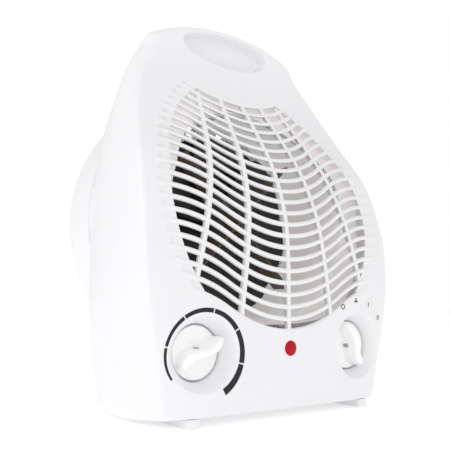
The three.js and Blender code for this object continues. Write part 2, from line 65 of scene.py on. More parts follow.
class Body(Enum):
    """The bodies of the frame that pieces ride on."""

    HOUSING = "housing"
    THERMOSTAT = "thermostat_dial"
    SELECTOR = "selector_dial"
    FAN = "fan_rotor"


class Side(Enum):
    """Left and right, as the sign of X."""

    LEFT = -1
    RIGHT = 1


# ---------------------------------------------------------------------------------------------
# Small maths
# ---------------------------------------------------------------------------------------------


def smoothstep(value: Array, low: float, high: float) -> Array:
    """3t^2 - 2t^3 with t running from 0 at low to 1 at high."""
    t = np.clip((np.asarray(value, float) - low) / (high - low), 0.0, 1.0)
    return t * t * (3.0 - 2.0 * t)


def lerp(a: Array, b: Array, t: Array) -> Array:
    """Straight-line mix of a and b."""
    return a + (b - a) * t


def box_mm(node: str) -> tuple[Vector, Vector]:
    """Corners of a frame node in millimetres."""
    low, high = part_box(node)
    return low / MM, high / MM


# ---------------------------------------------------------------------------------------------
# Materials
# ---------------------------------------------------------------------------------------------


def linear(hex_colour: str) -> tuple[float, float, float, float]:
    """Turns an sRGB hex colour into linear RGBA.

    Args:
        hex_colour: Six hex digits, such as "f2f2f5".

    Returns:
        Red, green, blue and alpha, each from 0 to 1.
    """
    parts = [int(hex_colour[i:i + 2], 16) / 255.0 for i in (0, 2, 4)]
    red, green, blue = (c / 12.92 if c <= 0.04045 else ((c + 0.055) / 1.055) ** 2.4 for c in parts)
    return (red, green, blue, 1.0)


def add_node(tree: bpy.types.NodeTree, kind: str, links: Optional[dict] = None,
             **settings: object) -> bpy.types.Node:
    """Adds one shader node.

    Args:
        tree: The node tree.
        kind: The node's type name.
        links: Input socket names with the output sockets that feed them.
        settings: Input values by socket name with _ for a space, or properties of the node itself.

    Returns:
        The new node.
    """
    node = tree.nodes.new(kind)
    for name, value in settings.items():
        if hasattr(node, name):
            setattr(node, name, value)
        else:
            node.inputs[name.replace("_", " ")].default_value = value
    for name, socket in (links or {}).items():
        tree.links.new(socket, node.inputs[name])
    return node


@dataclass(frozen=True)
class Finish:
    """One procedural finish: a base colour with a faint mottle, and a fine grain in the gloss and relief.

    The grain is a noise of grain_mm between crests. The mottle is a slower noise of mottle_mm that
    mixes in the second colour, as moulded plastic and rolled metal have.
    """

    name: str
    colour: str
    second: str
    roughness: float
    metallic: float = 0.0
    ior: float = 1.46
    grain_mm: float = 0.5
    relief_mm: float = 0.01
    mottle_mm: float = 40.0
    roughness_spread: float = 0.05
    coat: float = 0.0
    subsurface: float = 0.0
    transmission: float = 0.0
    brushed: tuple[float, float, float] = (1.0, 1.0, 1.0)
    glow: float = 0.0

    def material(self) -> bpy.types.Material:
        """Makes the Blender material once.

        Returns:
            The material, new or made before.
        """
        made = bpy.data.materials.get(self.name)
        if made:
            return made
        made = bpy.data.materials.new(self.name)
        made.use_nodes = True
        tree = made.node_tree
        tree.nodes.clear()
        place = add_node(tree, "ShaderNodeTexCoord").outputs["Object"]
        stretched = add_node(tree, "ShaderNodeMapping", {"Vector": place}, Scale=self.brushed)
        grain = add_node(tree, "ShaderNodeTexNoise", {"Vector": stretched.outputs["Vector"]},
                         Scale=1.0 / (self.grain_mm * MM), Detail=3.0, Roughness=0.55)
        mottle = add_node(tree, "ShaderNodeTexNoise", {"Vector": place},
                          Scale=1.0 / (self.mottle_mm * MM), Detail=2.0)
        tint = add_node(tree, "ShaderNodeMix", {"Factor": mottle.outputs["Fac"]}, data_type="RGBA")
        tint.inputs["A"].default_value = linear(self.colour)
        tint.inputs["B"].default_value = linear(self.second)
        gloss = add_node(tree, "ShaderNodeMapRange", {"Value": grain.outputs["Fac"]},
                         To_Min=self.roughness - self.roughness_spread,
                         To_Max=self.roughness + self.roughness_spread)
        relief = add_node(tree, "ShaderNodeBump", {"Height": grain.outputs["Fac"]},
                          Strength=1.0, Distance=self.relief_mm * MM)
        shader = add_node(tree, "ShaderNodeBsdfPrincipled", {
            "Base Color": tint.outputs[2],
            "Roughness": gloss.outputs["Result"],
            "Normal": relief.outputs["Normal"],
        }, Metallic=self.metallic)
        if not self.metallic:
            shader.inputs["IOR"].default_value = self.ior
        shader.inputs["Coat Weight"].default_value = self.coat
        shader.inputs["Transmission Weight"].default_value = self.transmission
        shader.inputs["Subsurface Weight"].default_value = self.subsurface
        if self.subsurface:
            shader.inputs["Subsurface Radius"].default_value = (1.0, 0.9, 0.8)
            shader.inputs["Subsurface Scale"].default_value = 1.5 * MM
        if self.glow:
            shader.inputs["Emission Color"].default_value = linear(self.colour)
            shader.inputs["Emission Strength"].default_value = self.glow
        add_node(tree, "ShaderNodeOutputMaterial", {"Surface": shader.outputs["BSDF"]})
        return made


# ABS injection-moulded against a fine-eroded steel tool: cool white, satin, a faint pebble in the light.
CASING_ABS = Finish("white_moulded_abs", "f4f4f6", "f0f0f2", 0.36, ior=1.53, grain_mm=0.45, relief_mm=0.006)
# ABS from a polished tool: a touch warmer and glossier than the covers. Its glow is painted light, which
# makes the knobs show brighter than the covers.
KNOB_ABS_PAINTED_GLOW = Finish("polished_knob_abs_painted_glow", "fbfbfb", "f7f7f8", 0.3, ior=1.53, grain_mm=0.7, relief_mm=0.002,
                  coat=0.1, glow=0.06)
# Heat-proof phenolic moulding: pale taupe, dull. The glow stands for light thrown about behind the grille.
DUCT_PHENOLIC = Finish("taupe_phenolic", "dedad8", "d5d0ce", 0.55, ior=1.6, grain_mm=0.6, relief_mm=0.02,
                       glow=0.4)
# Card of pressed mica flakes, browned by heat: dark tan and grey flecks with a dull shine.
MICA_CARD = Finish("pressed_mica", "6b6052", "4d443a", 0.5, ior=1.58, grain_mm=1.2, relief_mm=0.03,
                   mottle_mm=3.0)
# Nylon filled with glass, moulded black: deep satin black.
FAN_BLACK = Finish("black_filled_nylon", "1b191d", "232126", 0.42, ior=1.53, grain_mm=0.6, relief_mm=0.01)
# Nichrome wire drawn and oxidised by heat: brown-black, half dull.
NICHROME = Finish("oxidised_nichrome", "4a3c34", "352b27", 0.5, metallic=1.0, grain_mm=0.3, relief_mm=0.004)
# Cold-rolled steel: grey, brushed along one way.
ROLLED_STEEL = Finish("rolled_steel", "a9abae", "9a9c9f", 0.4, metallic=1.0, grain_mm=0.4, relief_mm=0.004,
                      brushed=(0.1, 1.0, 1.0))
# Zinc plate on steel: bluish bright grey with a soft spangle.
ZINC_PLATE = Finish("zinc_plate", "c3c6ca", "b4b8be", 0.34, metallic=1.0, grain_mm=0.8, relief_mm=0.004,
                    mottle_mm=4.0)
# Enamelled copper wire in a bobbin: red-brown, glossy.
COPPER_WINDING = Finish("enamelled_copper", "b4683a", "9a5530", 0.3, metallic=1.0, grain_mm=0.5,
                        relief_mm=0.03, brushed=(1.0, 0.1, 1.0))
# Uncoloured nylon: ivory, waxy.
NATURAL_NYLON = Finish("natural_nylon", "d9d4c8", "cfc9bb", 0.45, ior=1.53, grain_mm=0.8, relief_mm=0.01,
                       subsurface=0.2)
# Polycarbonate dyed red over a neon tube: full red with a soft shine.
LENS_RED = Finish("red_polycarbonate", "b00014", "a00012", 0.25, ior=1.33, grain_mm=1.0, relief_mm=0.004,
                  roughness_spread=0.02, glow=0.16)
# Soda-lime glass of the neon tube.
NEON_GLASS = Finish("neon_glass", "f6dcc8", "f2d2ba", 0.06, ior=1.5, grain_mm=2.0, relief_mm=0.001,
                    roughness_spread=0.02, transmission=0.8)
# Pad-printed two-part ink: nearly black blue, half dull.
PRINT_INK = Finish("pad_print_ink", "201f27", "1a1921", 0.7, ior=1.5, grain_mm=0.4, relief_mm=0.004)
# Rubber-like vinyl of the cord bush.
BUSH_VINYL = Finish("black_vinyl", "201f21", "29282a", 0.6, ior=1.5, grain_mm=0.6, relief_mm=0.015)
# Seamless studio paper: nearly white, dull.
STUDIO_PAPER = Finish("studio_paper", "fbfbfb", "f8f8f8", 0.9, ior=1.4, grain_mm=2.0, relief_mm=0.01,
                      mottle_mm=400.0, glow=0.3)

CAD_FINISHES = {
    "thermostat_spindle": ROLLED_STEEL, "thermostat_body": NATURAL_NYLON, "selector_spindle": ROLLED_STEEL,
    "selector_switch_body": NATURAL_NYLON, "mica_card_rising": MICA_CARD, "mica_card_falling": MICA_CARD,
    "motor_shaft": ROLLED_STEEL, "motor_rotor": ZINC_PLATE, "motor_stator": ROLLED_STEEL,
    "motor_coil": COPPER_WINDING,
    "bearing_bracket_front": ROLLED_STEEL, "bearing_bracket_rear": ROLLED_STEEL,
    "neon_tube": NEON_GLASS, "lamp_sleeve": NATURAL_NYLON, "thermal_cutout": ZINC_PLATE,
    "terminal_block": NATURAL_NYLON, "cord_gland": BUSH_VINYL,
    "cover_screw_1": ZINC_PLATE, "cover_screw_2": ZINC_PLATE, "cover_screw_3": ZINC_PLATE,
    "cover_screw_4": ZINC_PLATE, "motor_screw_1": ZINC_PLATE, "motor_screw_2": ZINC_PLATE,
}


# ---------------------------------------------------------------------------------------------
# Meshes
# ---------------------------------------------------------------------------------------------


class Skin:
    """Grids of points in millimetres (x, depth, z), gathered into one mesh with shared edges merged."""

    WELD = 0.004

    def __init__(self, front: float) -> None:
        """Starts empty.

        Args:
            front: The Y of depth 0, in millimetres.
        """
        self.front = front
        self._points: list[Array] = []
        self._inward: list[Array] = []
        self._faces: list[Array] = []
        self._count = 0

    def grid(self, points: Array, keep: Optional[Array] = None, inward: Optional[Array] = None,
             flip: bool = False, wrap: bool = False) -> None:
        """Adds a grid of quads.

        Args:
            points: Rows by columns by 3. With rows going up and columns to the right, faces look forward.
            keep: Which cells to keep, as booleans of (rows - 1) by (columns - 1).
            inward: For each point, the way to the inner wall. Left out, it follows the surface's normal.
            flip: Turns the faces round.
            wrap: Joins the last column to the first.
        """
        rows, columns = points.shape[:2]
        index = np.arange(rows * columns).reshape(rows, columns) + self._count
        if wrap:
            index = np.hstack([index, index[:, :1]])
        quads = np.stack([index[:-1, :-1], index[:-1, 1:], index[1:, 1:], index[1:, :-1]], axis=-1)
        quads = quads.reshape(-1, 4) if keep is None else quads[keep]
        self._faces.append(quads[:, ::-1] if flip else quads)
        self._points.append(points.reshape(-1, 3))
        unknown = np.full((rows * columns, 3), np.nan)
        self._inward.append(unknown if inward is None else inward.reshape(-1, 3))
        self._count += rows * columns

    def mirrored(self, other: "Skin") -> None:
        """Adds another skin's grids, and their mirror image across X = 0.

        Args:
            other: The skin of the right half.
        """
        points, inward = np.concatenate(other._points), np.concatenate(other._inward)
        faces = np.concatenate(other._faces)
        for side in (Side.RIGHT, Side.LEFT):
            turn = np.array([side.value, 1.0, 1.0])
            self._faces.append((faces if side is Side.RIGHT else faces[:, ::-1]) + self._count)
            self._points.append(points * turn)
            self._inward.append(inward * turn)
            self._count += len(points)

    def turn(self, centre: tuple[float, float], degrees: float) -> None:
        """Turns every grid clockwise about the depth axis, then carries that axis to a centre.

        Args:
            centre: x and z of the new place.
            degrees: The turn.
        """
        cos, sin = math.cos(math.radians(degrees)), math.sin(math.radians(degrees))
        for number, points in enumerate(self._points):
            x, depth, z = points.T
            turned = [centre[0] + x * cos + z * sin, depth, centre[1] - x * sin + z * cos]
            self._points[number] = np.stack(turned, axis=-1)

    def _merged(self) -> tuple[Array, Array, Array]:
        """Makes one list of the grids, with points closer than WELD as one.

        Returns:
            Points, inward ways and faces.
        """
        points = np.concatenate(self._points)
        inward = np.concatenate(self._inward)
        faces = np.concatenate(self._faces)
        key = np.round(points / self.WELD).astype(np.int64)
        _, first, number = np.unique(key, axis=0, return_index=True, return_inverse=True)
        return points[first], inward[first], number.reshape(-1)[faces]

    @staticmethod
    def _split(faces: Array) -> tuple[Array, Array]:
        """Sorts faces by how many of their edges have no length, and drops those with no area.

        Args:
            faces: Point numbers, four a face.

        Returns:
            Whole quads, and the triangles left of quads with one edge of no length.
        """
        same = faces == np.roll(faces, -1, axis=1)
        quads = faces[same.sum(axis=1) == 0]
        folded = faces[same.sum(axis=1) == 1]
        triangles = folded[~same[same.sum(axis=1) == 1]].reshape(-1, 3)
        quads = quads[(quads[:, 0] != quads[:, 2]) & (quads[:, 1] != quads[:, 3])]
        return quads, triangles

    @staticmethod
    def _normals(points: Array, quads: Array, triangles: Array) -> Array:
        """Unit normal at each point: the sum of its faces' area vectors, made one long.

        Args:
            points: All points.
            quads: Faces of four points.
            triangles: Faces of three points.

        Returns:
            One normal a point.
        """
        total = np.zeros_like(points)
        for faces, a, b in ((quads, (0, 2), (1, 3)), (triangles, (0, 1), (0, 2))):
            if len(faces):
                one = points[faces[:, a[1]]] - points[faces[:, a[0]]]
                two = points[faces[:, b[1]]] - points[faces[:, b[0]]]
                area = np.cross(one, two)
                for corner in range(faces.shape[1]):
                    np.add.at(total, faces[:, corner], area)
        return total / np.maximum(np.linalg.norm(total, axis=1, keepdims=True), 1e-12)

    def make(self, name: str, finish: Finish, body: Body, thickness: float = 0.0) -> bpy.types.Object:
        """Builds the object, dresses it and makes it ride on its body.

        With a thickness, the skin gets an inner wall and rims along its open edges, so it is closed.

        Args:
            name: The piece's name.
            finish: Its material.
            body: The body it rides on.
            thickness: Wall thickness in millimetres, or 0 for a skin that is closed already.

        Returns:
            The new object.
        """
        points, inward, faces = self._merged()
        quads, triangles = self._split(faces)
        if thickness:
            normals = self._normals(points, quads, triangles)
            inward = np.where(np.isnan(inward), -normals, inward) * thickness
            count = len(points)
            edges = np.concatenate([quads[:, [i, (i + 1) % 4]] for i in range(4)]
                                   + [triangles[:, [i, (i + 1) % 3]] for i in range(3)])
            ends = np.sort(edges, axis=1)
            _, number, times = np.unique(ends, axis=0, return_inverse=True, return_counts=True)
            rim = edges[times[number.reshape(-1)] == 1]
            walls = np.stack([rim[:, 1], rim[:, 0], rim[:, 0] + count, rim[:, 1] + count], axis=1)
            quads = np.concatenate([quads, quads[:, ::-1] + count, walls])
            triangles = np.concatenate([triangles, triangles[:, ::-1] + count])
            points = np.concatenate([points, points + inward])
        placed = (points + np.array([0.0, self.front, 0.0])) * MM
        mesh = bpy.data.meshes.new(name)
        mesh.from_pydata(placed, [], quads.tolist() + triangles.tolist())
        mesh.validate()
        mesh.shade_smooth()
        return place(bpy.data.objects.new(name, mesh), finish, body)


def place(piece: bpy.types.Object, finish: Finish, body: Body) -> bpy.types.Object:
    """Links a piece, gives it its material and makes it ride on its body.

    Args:
        piece: The new object.
        finish: Its material.
        body: The body it rides on.

    Returns:
        The piece itself.
    """
    bpy.context.scene.collection.objects.link(piece)
    piece.data.materials.append(finish.material())
    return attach(piece, body.value)


def soften(piece: bpy.types.Object, width_mm: float, segments: int = 2, angle: float = 40.0) -> None:
    """Rounds a piece's sharp edges with a bevel.

    Args:
        piece: The object.
        width_mm: Width of the bevel.
        segments: Its steps.
        angle: Edges sharper than this many degrees are rounded.
    """
    bevel = piece.modifiers.new("rounded_edges", "BEVEL")
    bevel.width = width_mm * MM
    bevel.segments = segments
    bevel.limit_method = "ANGLE"
    bevel.angle_limit = math.radians(angle)
    bevel.harden_normals = False


def crease_shading(piece: bpy.types.Object, angle: float) -> None:
    """Marks edges sharper than an angle in degrees, so that smooth shading stops there."""
    piece.data.set_sharp_from_angle(angle=math.radians(angle))


def lathe(skin: Skin, profile: Sequence[tuple[float, float]], x: float, z: float, segments: int = 96) -> None:
    """Adds a profile turned about an axis that runs along the depth.

    Args:
        skin: The skin to add to.
        profile: Points of (radius, depth).
        x: Place of the axis.
        z: Height of the axis.
        segments: Cells in a whole turn.
    """
    radius, depth = np.array(profile, float).T
    angle = np.linspace(0.0, 2.0 * np.pi, segments, endpoint=False)
    sunk = np.broadcast_to(depth[:, None], (len(depth), segments))
    across, up = radius[:, None] * np.cos(angle), radius[:, None] * np.sin(angle)
    points = np.stack([x + across, sunk, z + up], axis=-1)
    skin.grid(points, wrap=True, flip=True)


def rounded(profile: Sequence[tuple[float, float]], radius: float,
            steps: int = 4) -> list[tuple[float, float]]:
    """Rounds the inner corners of an open outline. Each becomes a quadratic curve.

    Args:
        profile: The outline's points.
        radius: How far from its corner a curve starts and ends, or half a side where that is shorter.
        steps: Cells in each curve.

    Returns:
        The rounded outline.
    """
    points = np.array(profile, float)
    out = [points[0]]
    for before, corner, after in zip(points, points[1:], points[2:]):
        one, two = before - corner, after - corner
        first = corner + one * min(0.5, radius / np.linalg.norm(one))
        last = corner + two * min(0.5, radius / np.linalg.norm(two))
        for t in np.linspace(0.0, 1.0, steps + 1):
            out.append((1 - t) ** 2 * first + 2 * t * (1 - t) * corner + t ** 2 * last)
    return [tuple(p) for p in [*out, points[-1]]]


# ---------------------------------------------------------------------------------------------
# The casing's form
# ---------------------------------------------------------------------------------------------


@dataclass(frozen=True)
class Form:
    """The casing's outer surface, as the frame has it.

    Columns of stations: height, depth of the centre line, depth of the front edge, and the half-widths
    at the front edge, at the fullest part of the flank and at the rear.
    """

    front: float
    top: float
    parting: float
    stations: tuple[tuple[float, ...], ...] = (
        (-5, 0, 9, 79, 87, 86.5), (24, 0, 8, 85, 93.5, 90.5), (64, 0, 6, 93, 100, 94.5),
        (100, 0.2, 7, 96, 101, 95), (124, 3.2, 11.5, 95.3, 99.5, 94.5), (153, 14, 21, 92, 96, 91.5),
        (180, 31, 37.5, 85, 89.5, 86), (203, 47, 49.5, 77, 82.5, 78.5), (220, 56, 57, 69, 75, 72),
        (235, 61, 61.5, 60, 66, 64.5), (247, 62.8, 63.2, 54, 59, 57), (258.5, 64.3, 64.5, 40, 44, 42),
    )
    lift: float = 5.8
    floor_back: float = 66.0
    rear: float = 80.0
    corner: float = 4.0
    crown_from: float = 230.0
    crown_half: float = 71.0
    fillet: float = 9.0

    def column(self, number: int, z: Array) -> Array:
        """One station column at some heights: cubic curves, each slope taken from the stations beside.

        Args:
            number: The column.
            z: The heights.

        Returns:
            The column's value at each height.
        """
        table = np.array(self.stations)
        heights, values = table[:, 0], table[:, number]
        slopes = np.empty_like(values)
        slopes[1:-1] = (values[2:] - values[:-2]) / (heights[2:] - heights[:-2])
        slopes[0] = (values[1] - values[0]) / (heights[1] - heights[0])
        slopes[-1] = (values[-1] - values[-2]) / (heights[-1] - heights[-2])
        i = np.clip(np.searchsorted(heights, z) - 1, 0, len(heights) - 2)
        span = heights[i + 1] - heights[i]
        t = np.clip((z - heights[i]) / span, 0.0, 1.0)
        return ((2 * t**3 - 3 * t**2 + 1) * values[i] + (t**3 - 2 * t**2 + t) * slopes[i] * span
                + (3 * t**2 - 2 * t**3) * values[i + 1] + (t**3 - t**2) * slopes[i + 1] * span)

    def crown(self, z: Array) -> Array:
        """Half-width of the elliptic crown, which is wide open below its start."""
        rise = np.clip((z - self.crown_from) / (self.top - self.crown_from), -1.0, 1.0)
        return np.where(z > self.crown_from, self.crown_half * np.sqrt(np.maximum(0.0, 1 - rise**2)), 1e3)

    def tuck(self, z: Array) -> Array:
        """How far the flanks turn in near the floor: a quarter circle."""
        low = np.clip(1 - z / self.fillet, 0.0, 1.0)
        return self.fillet * (1 - np.sqrt(1 - low**2))

    def edge_half(self, z: Array) -> Array:
        """Half-width of the front panel."""
        return np.minimum(self.column(3, z), 0.9 * self.crown(z)) - 0.6 * self.tuck(z)

    def panel(self, x: Array, z: Array) -> Array:
        """Depth of the front panel: flat across at the foot, and bowed from edge to edge higher up.

        Args:
            x: Places across.
            z: Heights.

        Returns:
            The middle's depth, plus the edge's extra depth times (|x| / half-width) to a power.
        """
        power = lerp(4.0, 2.1, smoothstep(z, 45.0, 110.0))
        centre = self.column(1, z)
        return centre + (self.column(2, z) - centre) * (np.abs(x) / self.column(3, z)) ** power

    def floor(self, depth: Array) -> Array:
        """Height of the casing's sloping floor."""
        return np.maximum(0.0, self.lift * (1 - depth / self.floor_back))

    def back(self, z: Array) -> Array:
        """Depth of the rear wall."""
        return self.rear - 4.0 * smoothstep(z, self.crown_from, self.top)

    def flank(self, edge_x: Array, edge_depth: Array, z: Array, depth: Array) -> Array:
        """Half-width of the flank: a quadratic curve from the front edge, through the fullest part, to the
        rear half-width where the rear corner begins.

        Args:
            edge_x: Half-width of the front edge.
            edge_depth: Its depth.
            z: Heights.
            depth: Depths at which the half-width is wanted.

        Returns:
            The half-widths.
        """
        crown, tuck = self.crown(z), self.tuck(z)
        rear = np.minimum(self.column(5, z), crown) - tuck
        full = np.minimum(self.column(4, z), crown) - tuck
        last = self.back(z) - self.corner
        t = np.clip((depth - edge_depth) / np.maximum(last - edge_depth, 1e-6), 0.0, 1.0)
        bulge = 2 * full - (edge_x + rear) / 2
        return (1 - t) ** 2 * edge_x + 2 * t * (1 - t) * bulge + t**2 * rear


@dataclass
class Dials:
    """Places and sizes that both dials share."""

    x: float
    z: float
    rim: float = 21.5
    seat: float = 16.1
    floor: float = 15.5


@dataclass
class Grille:
    """The smile-shaped slots: row heights at the middle, sag, and the oval that ends them."""

    count: int = 21
    first: float = 54.2
    pitch: float = 7.17
    slot: float = 4.3
    sag: float = 0.007
    bend: float = 44.0
    level: float = 84.0
    rim_z: float = 127.0
    rim_half: float = 77.0
    rim_above: float = 90.0
    rim_below: float = 86.0
    groove: float = 1.2
    fade: float = 11.0

    @property
    def low(self) -> float:
        """Height at the middle of the first slot's lower edge."""
        return self.first - self.slot / 2

    @property
    def high(self) -> float:
        """Height at the middle of the last slot's upper edge."""
        return self.first + self.pitch * (self.count - 1) + self.slot / 2

    def half(self, row: Array) -> Array:
        """Half-length of a slot line: where it meets the oval, found by halving an interval.

        Args:
            row: The line's height at the middle.

        Returns:
            One half-length a row.
        """
        short, long = np.full_like(row, 15.0), np.full_like(row, 90.0)
        for _ in range(40):
            x = (short + long) / 2
            z = self.height(row, x)
            reach = np.where(z > self.rim_z, self.rim_above, self.rim_below)
            inside = x < self.rim_half * np.sqrt(np.maximum(0.0, 1 - ((z - self.rim_z) / reach) ** 2))
            short, long = np.where(inside, x, short), np.where(inside, long, x)
        return short

    def height(self, row: Array, x: Array) -> Array:
        """Height of a slot line: a parabola as far as the bend, then levelling out.

        Args:
            row: The line's height at the middle.
            x: Distances from the middle.

        Returns:
            The heights.
        """
        inner = np.minimum(x, self.bend)
        reach = self.level - self.bend
        past = np.clip(x - self.bend, 0.0, reach)
        return row + self.sag * inner**2 + 2 * self.sag * self.bend * (past - past**2 / (2 * reach))


# ---------------------------------------------------------------------------------------------
# Front cover
# ---------------------------------------------------------------------------------------------


@dataclass
class FrontCover:
    """The front cover: slotted panel, dial seats, finger scoop, flanks and floor as one moulding.

    The right half is worked out and mirrored. Its panel is three blocks of rows: plain from the floor to
    the first slot, slots with round bars, and plain up to the scoop; a fourth block caps the scoop.
    """

    form: Form
    grille: Grille
    dials: Dials
    wall: float = 2.5
    bar_steps: tuple[float, ...] = (-1.0, -0.96, -0.84, -0.6, -0.3, 0.0, 0.3, 0.6, 0.84, 0.96, 1.0)
    edge_round: float = 1.8
    patch_rows: tuple[float, float] = (0.083, 0.905)
    last_row: float = 0.957
    brow_rows: int = 27
    scoop_half: float = 37.5
    scoop_low: float = 230.0
    scoop_tip: float = 245.5
    scoop_high: float = 255.3
    scoop_back: float = 73.0
    tip_partner: float = 43.0
    lip_width: float = 1.7
    shoulder: float = 239.0
    inner: Array = field(default_factory=lambda: np.sin(np.linspace(0.0, np.pi / 2, 61)))
    outer: Array = field(default_factory=lambda: np.linspace(0.0, 1.0, 19)[1:])

    def floor_line(self, x: Array) -> Array:
        """Height of the panel's lower edge."""
        return self.form.floor(self.form.panel(x, np.full_like(x, self.form.lift)))

    def lip_line(self, x: Array) -> Array:
        """Height of the line through the scoop's lower lip, half an ellipse, and on down to the shoulder.

        Args:
            x: Distances from the middle.

        Returns:
            The heights.
        """
        reach = x / self.scoop_half
        lip = self.scoop_tip - (self.scoop_tip - self.scoop_low) * np.sqrt(1 - np.minimum(reach, 1.0) ** 2)
        past = np.clip(x - self.scoop_half, 0.0, None)
        end = self.form.edge_half(np.array(self.shoulder)) - self.scoop_half
        return lip - (self.scoop_tip - self.shoulder) * (past / end) ** 1.6

    def brow_line(self, x: Array) -> Array:
        """Height of the scoop's upper edge: half an ellipse as far as the tip, then the lip line.

        Args:
            x: Distances from the middle.

        Returns:
            The heights.
        """
        reach = np.minimum(x / self.scoop_half, 1.0)
        brow = self.scoop_tip + (self.scoop_high - self.scoop_tip) * np.sqrt(1 - reach**2)
        return np.where(x < self.scoop_half, brow, self.lip_line(x))

    def spread(self, line: Callable[[Array], Array], half: Array) -> tuple[Array, Array]:
        """Points of one or more rows from the middle to the crease's inner side.

        The crease is where the row's height gives the panel that very half-width, found by repeated
        substitution.

        Args:
            line: Height of the rows at given x, each row along the last axis.
            half: Where the inner columns end, one value a row.

        Returns:
            x and z of the points, rows by columns, the last column being the crease itself.
        """
        crease = np.full_like(half, 80.0)
        for _ in range(60):
            crease = lerp(crease, self.form.edge_half(line(crease[:, None])[:, 0]), 0.5)
        near = crease - self.edge_round
        x = np.hstack([half[:, None] * self.inner, half[:, None] + (near - half)[:, None] * self.outer,
                       crease[:, None]])
        return x, line(x)

    def rows(self) -> tuple[Array, Array, Array, Array]:
        """All panel rows up to the lip.

        Returns:
            x, z, groove depth, and which cells are solid.
        """
        grille = self.grille
        low, high = np.array([grille.low]), np.array([grille.high])
        half_low = grille.half(low)
        share = np.concatenate([[0.0, 0.004, 0.012, 0.028, 0.052], np.linspace(*self.patch_rows, 31),
                                np.linspace(self.patch_rows[1], self.last_row, 5)[1:]])[:, None]
        under = self.spread(lambda x: lerp(self.floor_line(x), grille.height(low, x), share),
                            np.full(len(share), half_low[0]))
        q = np.array(self.bar_steps)
        bar = (grille.pitch - grille.slot) / 2
        start, end = q[q <= 0], q[q >= 0]
        middles = grille.first + grille.pitch * (np.arange(grille.count - 1) + 0.5)
        steps = np.concatenate([low - bar + bar * end[:-1], low]
                               + [m + bar * q for m in middles] + [high, high + bar + bar * start[1:]])
        shape = np.concatenate([end[:-1], [1.0]] + [np.abs(q) for _ in middles]
                               + [[1.0], np.abs(start[1:])])
        half = grille.half(np.clip(steps, grille.low, grille.high))
        slots = self.spread(lambda x: grille.height(steps[:, None], x), half)
        top_row = steps[-1]
        share = (np.linspace(0.0, 1.0, self.brow_rows)[1:] ** 0.9)[:, None]
        ends = lerp(half[-1], self.scoop_half, share[:, 0])
        over = self.spread(lambda x: lerp(grille.height(top_row, x), self.lip_line(x), share), ends)
        x = np.vstack([under[0], slots[0], over[0]])
        z = np.vstack([under[1], slots[1], over[1]])
        depth = np.zeros_like(x)
        band = slice(len(under[0]), len(under[0]) + len(steps))
        past = np.clip(x[band] - half[:, None], 0.0, None)
        sunk = (grille.groove * (1 - np.sqrt(1 - shape**2)))[:, None]
        depth[band] = sunk * (1 - smoothstep(past, 0.0, grille.fade))
        solid = np.ones((x.shape[0] - 1, x.shape[1] - 1), bool)
        gap = np.isclose(np.diff(steps), grille.slot)
        solid[band.start:band.stop - 1, :len(self.inner) - 1][gap] = False
        return x, z, depth, solid

    def seat(self, skin: Skin, x: Array, z: Array) -> None:
        """Fills a rectangle of the grid round a dial: rings run from the rectangle's rim to a circle, then
        down the dish to its floor. The rim's own points set how the rings are divided.

        Args:
            skin: The skin to add to.
            x: Places across of the rectangle's points, rows by columns.
            z: Their heights.
        """
        loop_x = np.concatenate([x[0, :-1], x[:-1, -1], x[-1, :0:-1], x[:0:-1, 0]])
        loop_z = np.concatenate([z[0, :-1], z[:-1, -1], z[-1, :0:-1], z[:0:-1, 0]])
        angle = np.arctan2(loop_z - self.dials.z, loop_x - self.dials.x)
        across, up = np.cos(angle), np.sin(angle)
        lip = self.dials.rim + self.lip_width
        share = np.linspace(0.0, 1.0, 9)[:, None]
        ring_x = lerp(loop_x, self.dials.x + lip * across, share)
        ring_z = lerp(loop_z, self.dials.z + lip * up, share)
        ring_depth = self.form.panel(ring_x, ring_z)
        dish = rounded([(lip, 0.0), (self.dials.rim - 0.4, 0.0), (self.dials.rim - 1.9, 3.2),
                        (self.dials.seat + 0.2, 11.0), (self.dials.seat, self.dials.floor),
                        (0.0, self.dials.floor)], 1.3, 5)[1:]
        radius, sink = np.array(dish).T
        dish_x = self.dials.x + radius[:, None] * across
        dish_z = self.dials.z + radius[:, None] * up
        level = smoothstep(sink, 0.0, 9.0)[:, None]
        dish_depth = lerp(self.form.panel(dish_x, dish_z), 0.0, level) + sink[:, None]
        points = np.stack([np.vstack([ring_x, dish_x]), np.vstack([ring_depth, dish_depth]),
                           np.vstack([ring_z, dish_z])], axis=-1)
        skin.grid(points, wrap=True)

    def band(self, skin: Skin, edge: Array, near: Array, lower: Array) -> None:
        """Adds the rounded crease and the flank behind it.

        Args:
            skin: The skin to add to.
            edge: The sharp crease's points, from the floor up to the crown's top.
            near: The panel's points beside it.
            lower: The points of the panel's lower edge.
        """
        form = self.form
        stop = form.parting
        x, depth, z = edge.T
        first = depth + self.edge_round * np.minimum(1.0, (stop - depth) / 4.0)
        share = np.linspace(0.0, 1.0, 25)
        back = lerp(first[:, None], stop, share)
        lowest = z[0]
        fade = 1 - smoothstep(z, lowest, lowest + 30.0)
        height = z[:, None] + (form.floor(back) - lowest) * fade[:, None]
        wide = form.flank(x[:, None], depth[:, None], height, back)
        side = np.stack([wide, back, height], axis=-1)
        t = np.linspace(0.0, 1.0, 6)[None, 1:-1, None]
        start, corner, end = near[:, None], edge[:, None], side[:, :1]
        turn = (1 - t) ** 2 * start + 2 * t * (1 - t) * corner + t**2 * end
        strip = np.concatenate([start, turn, side], axis=1)
        skin.grid(strip)
        self.underside(skin, strip[0], len(t[0]) + 1, lower)

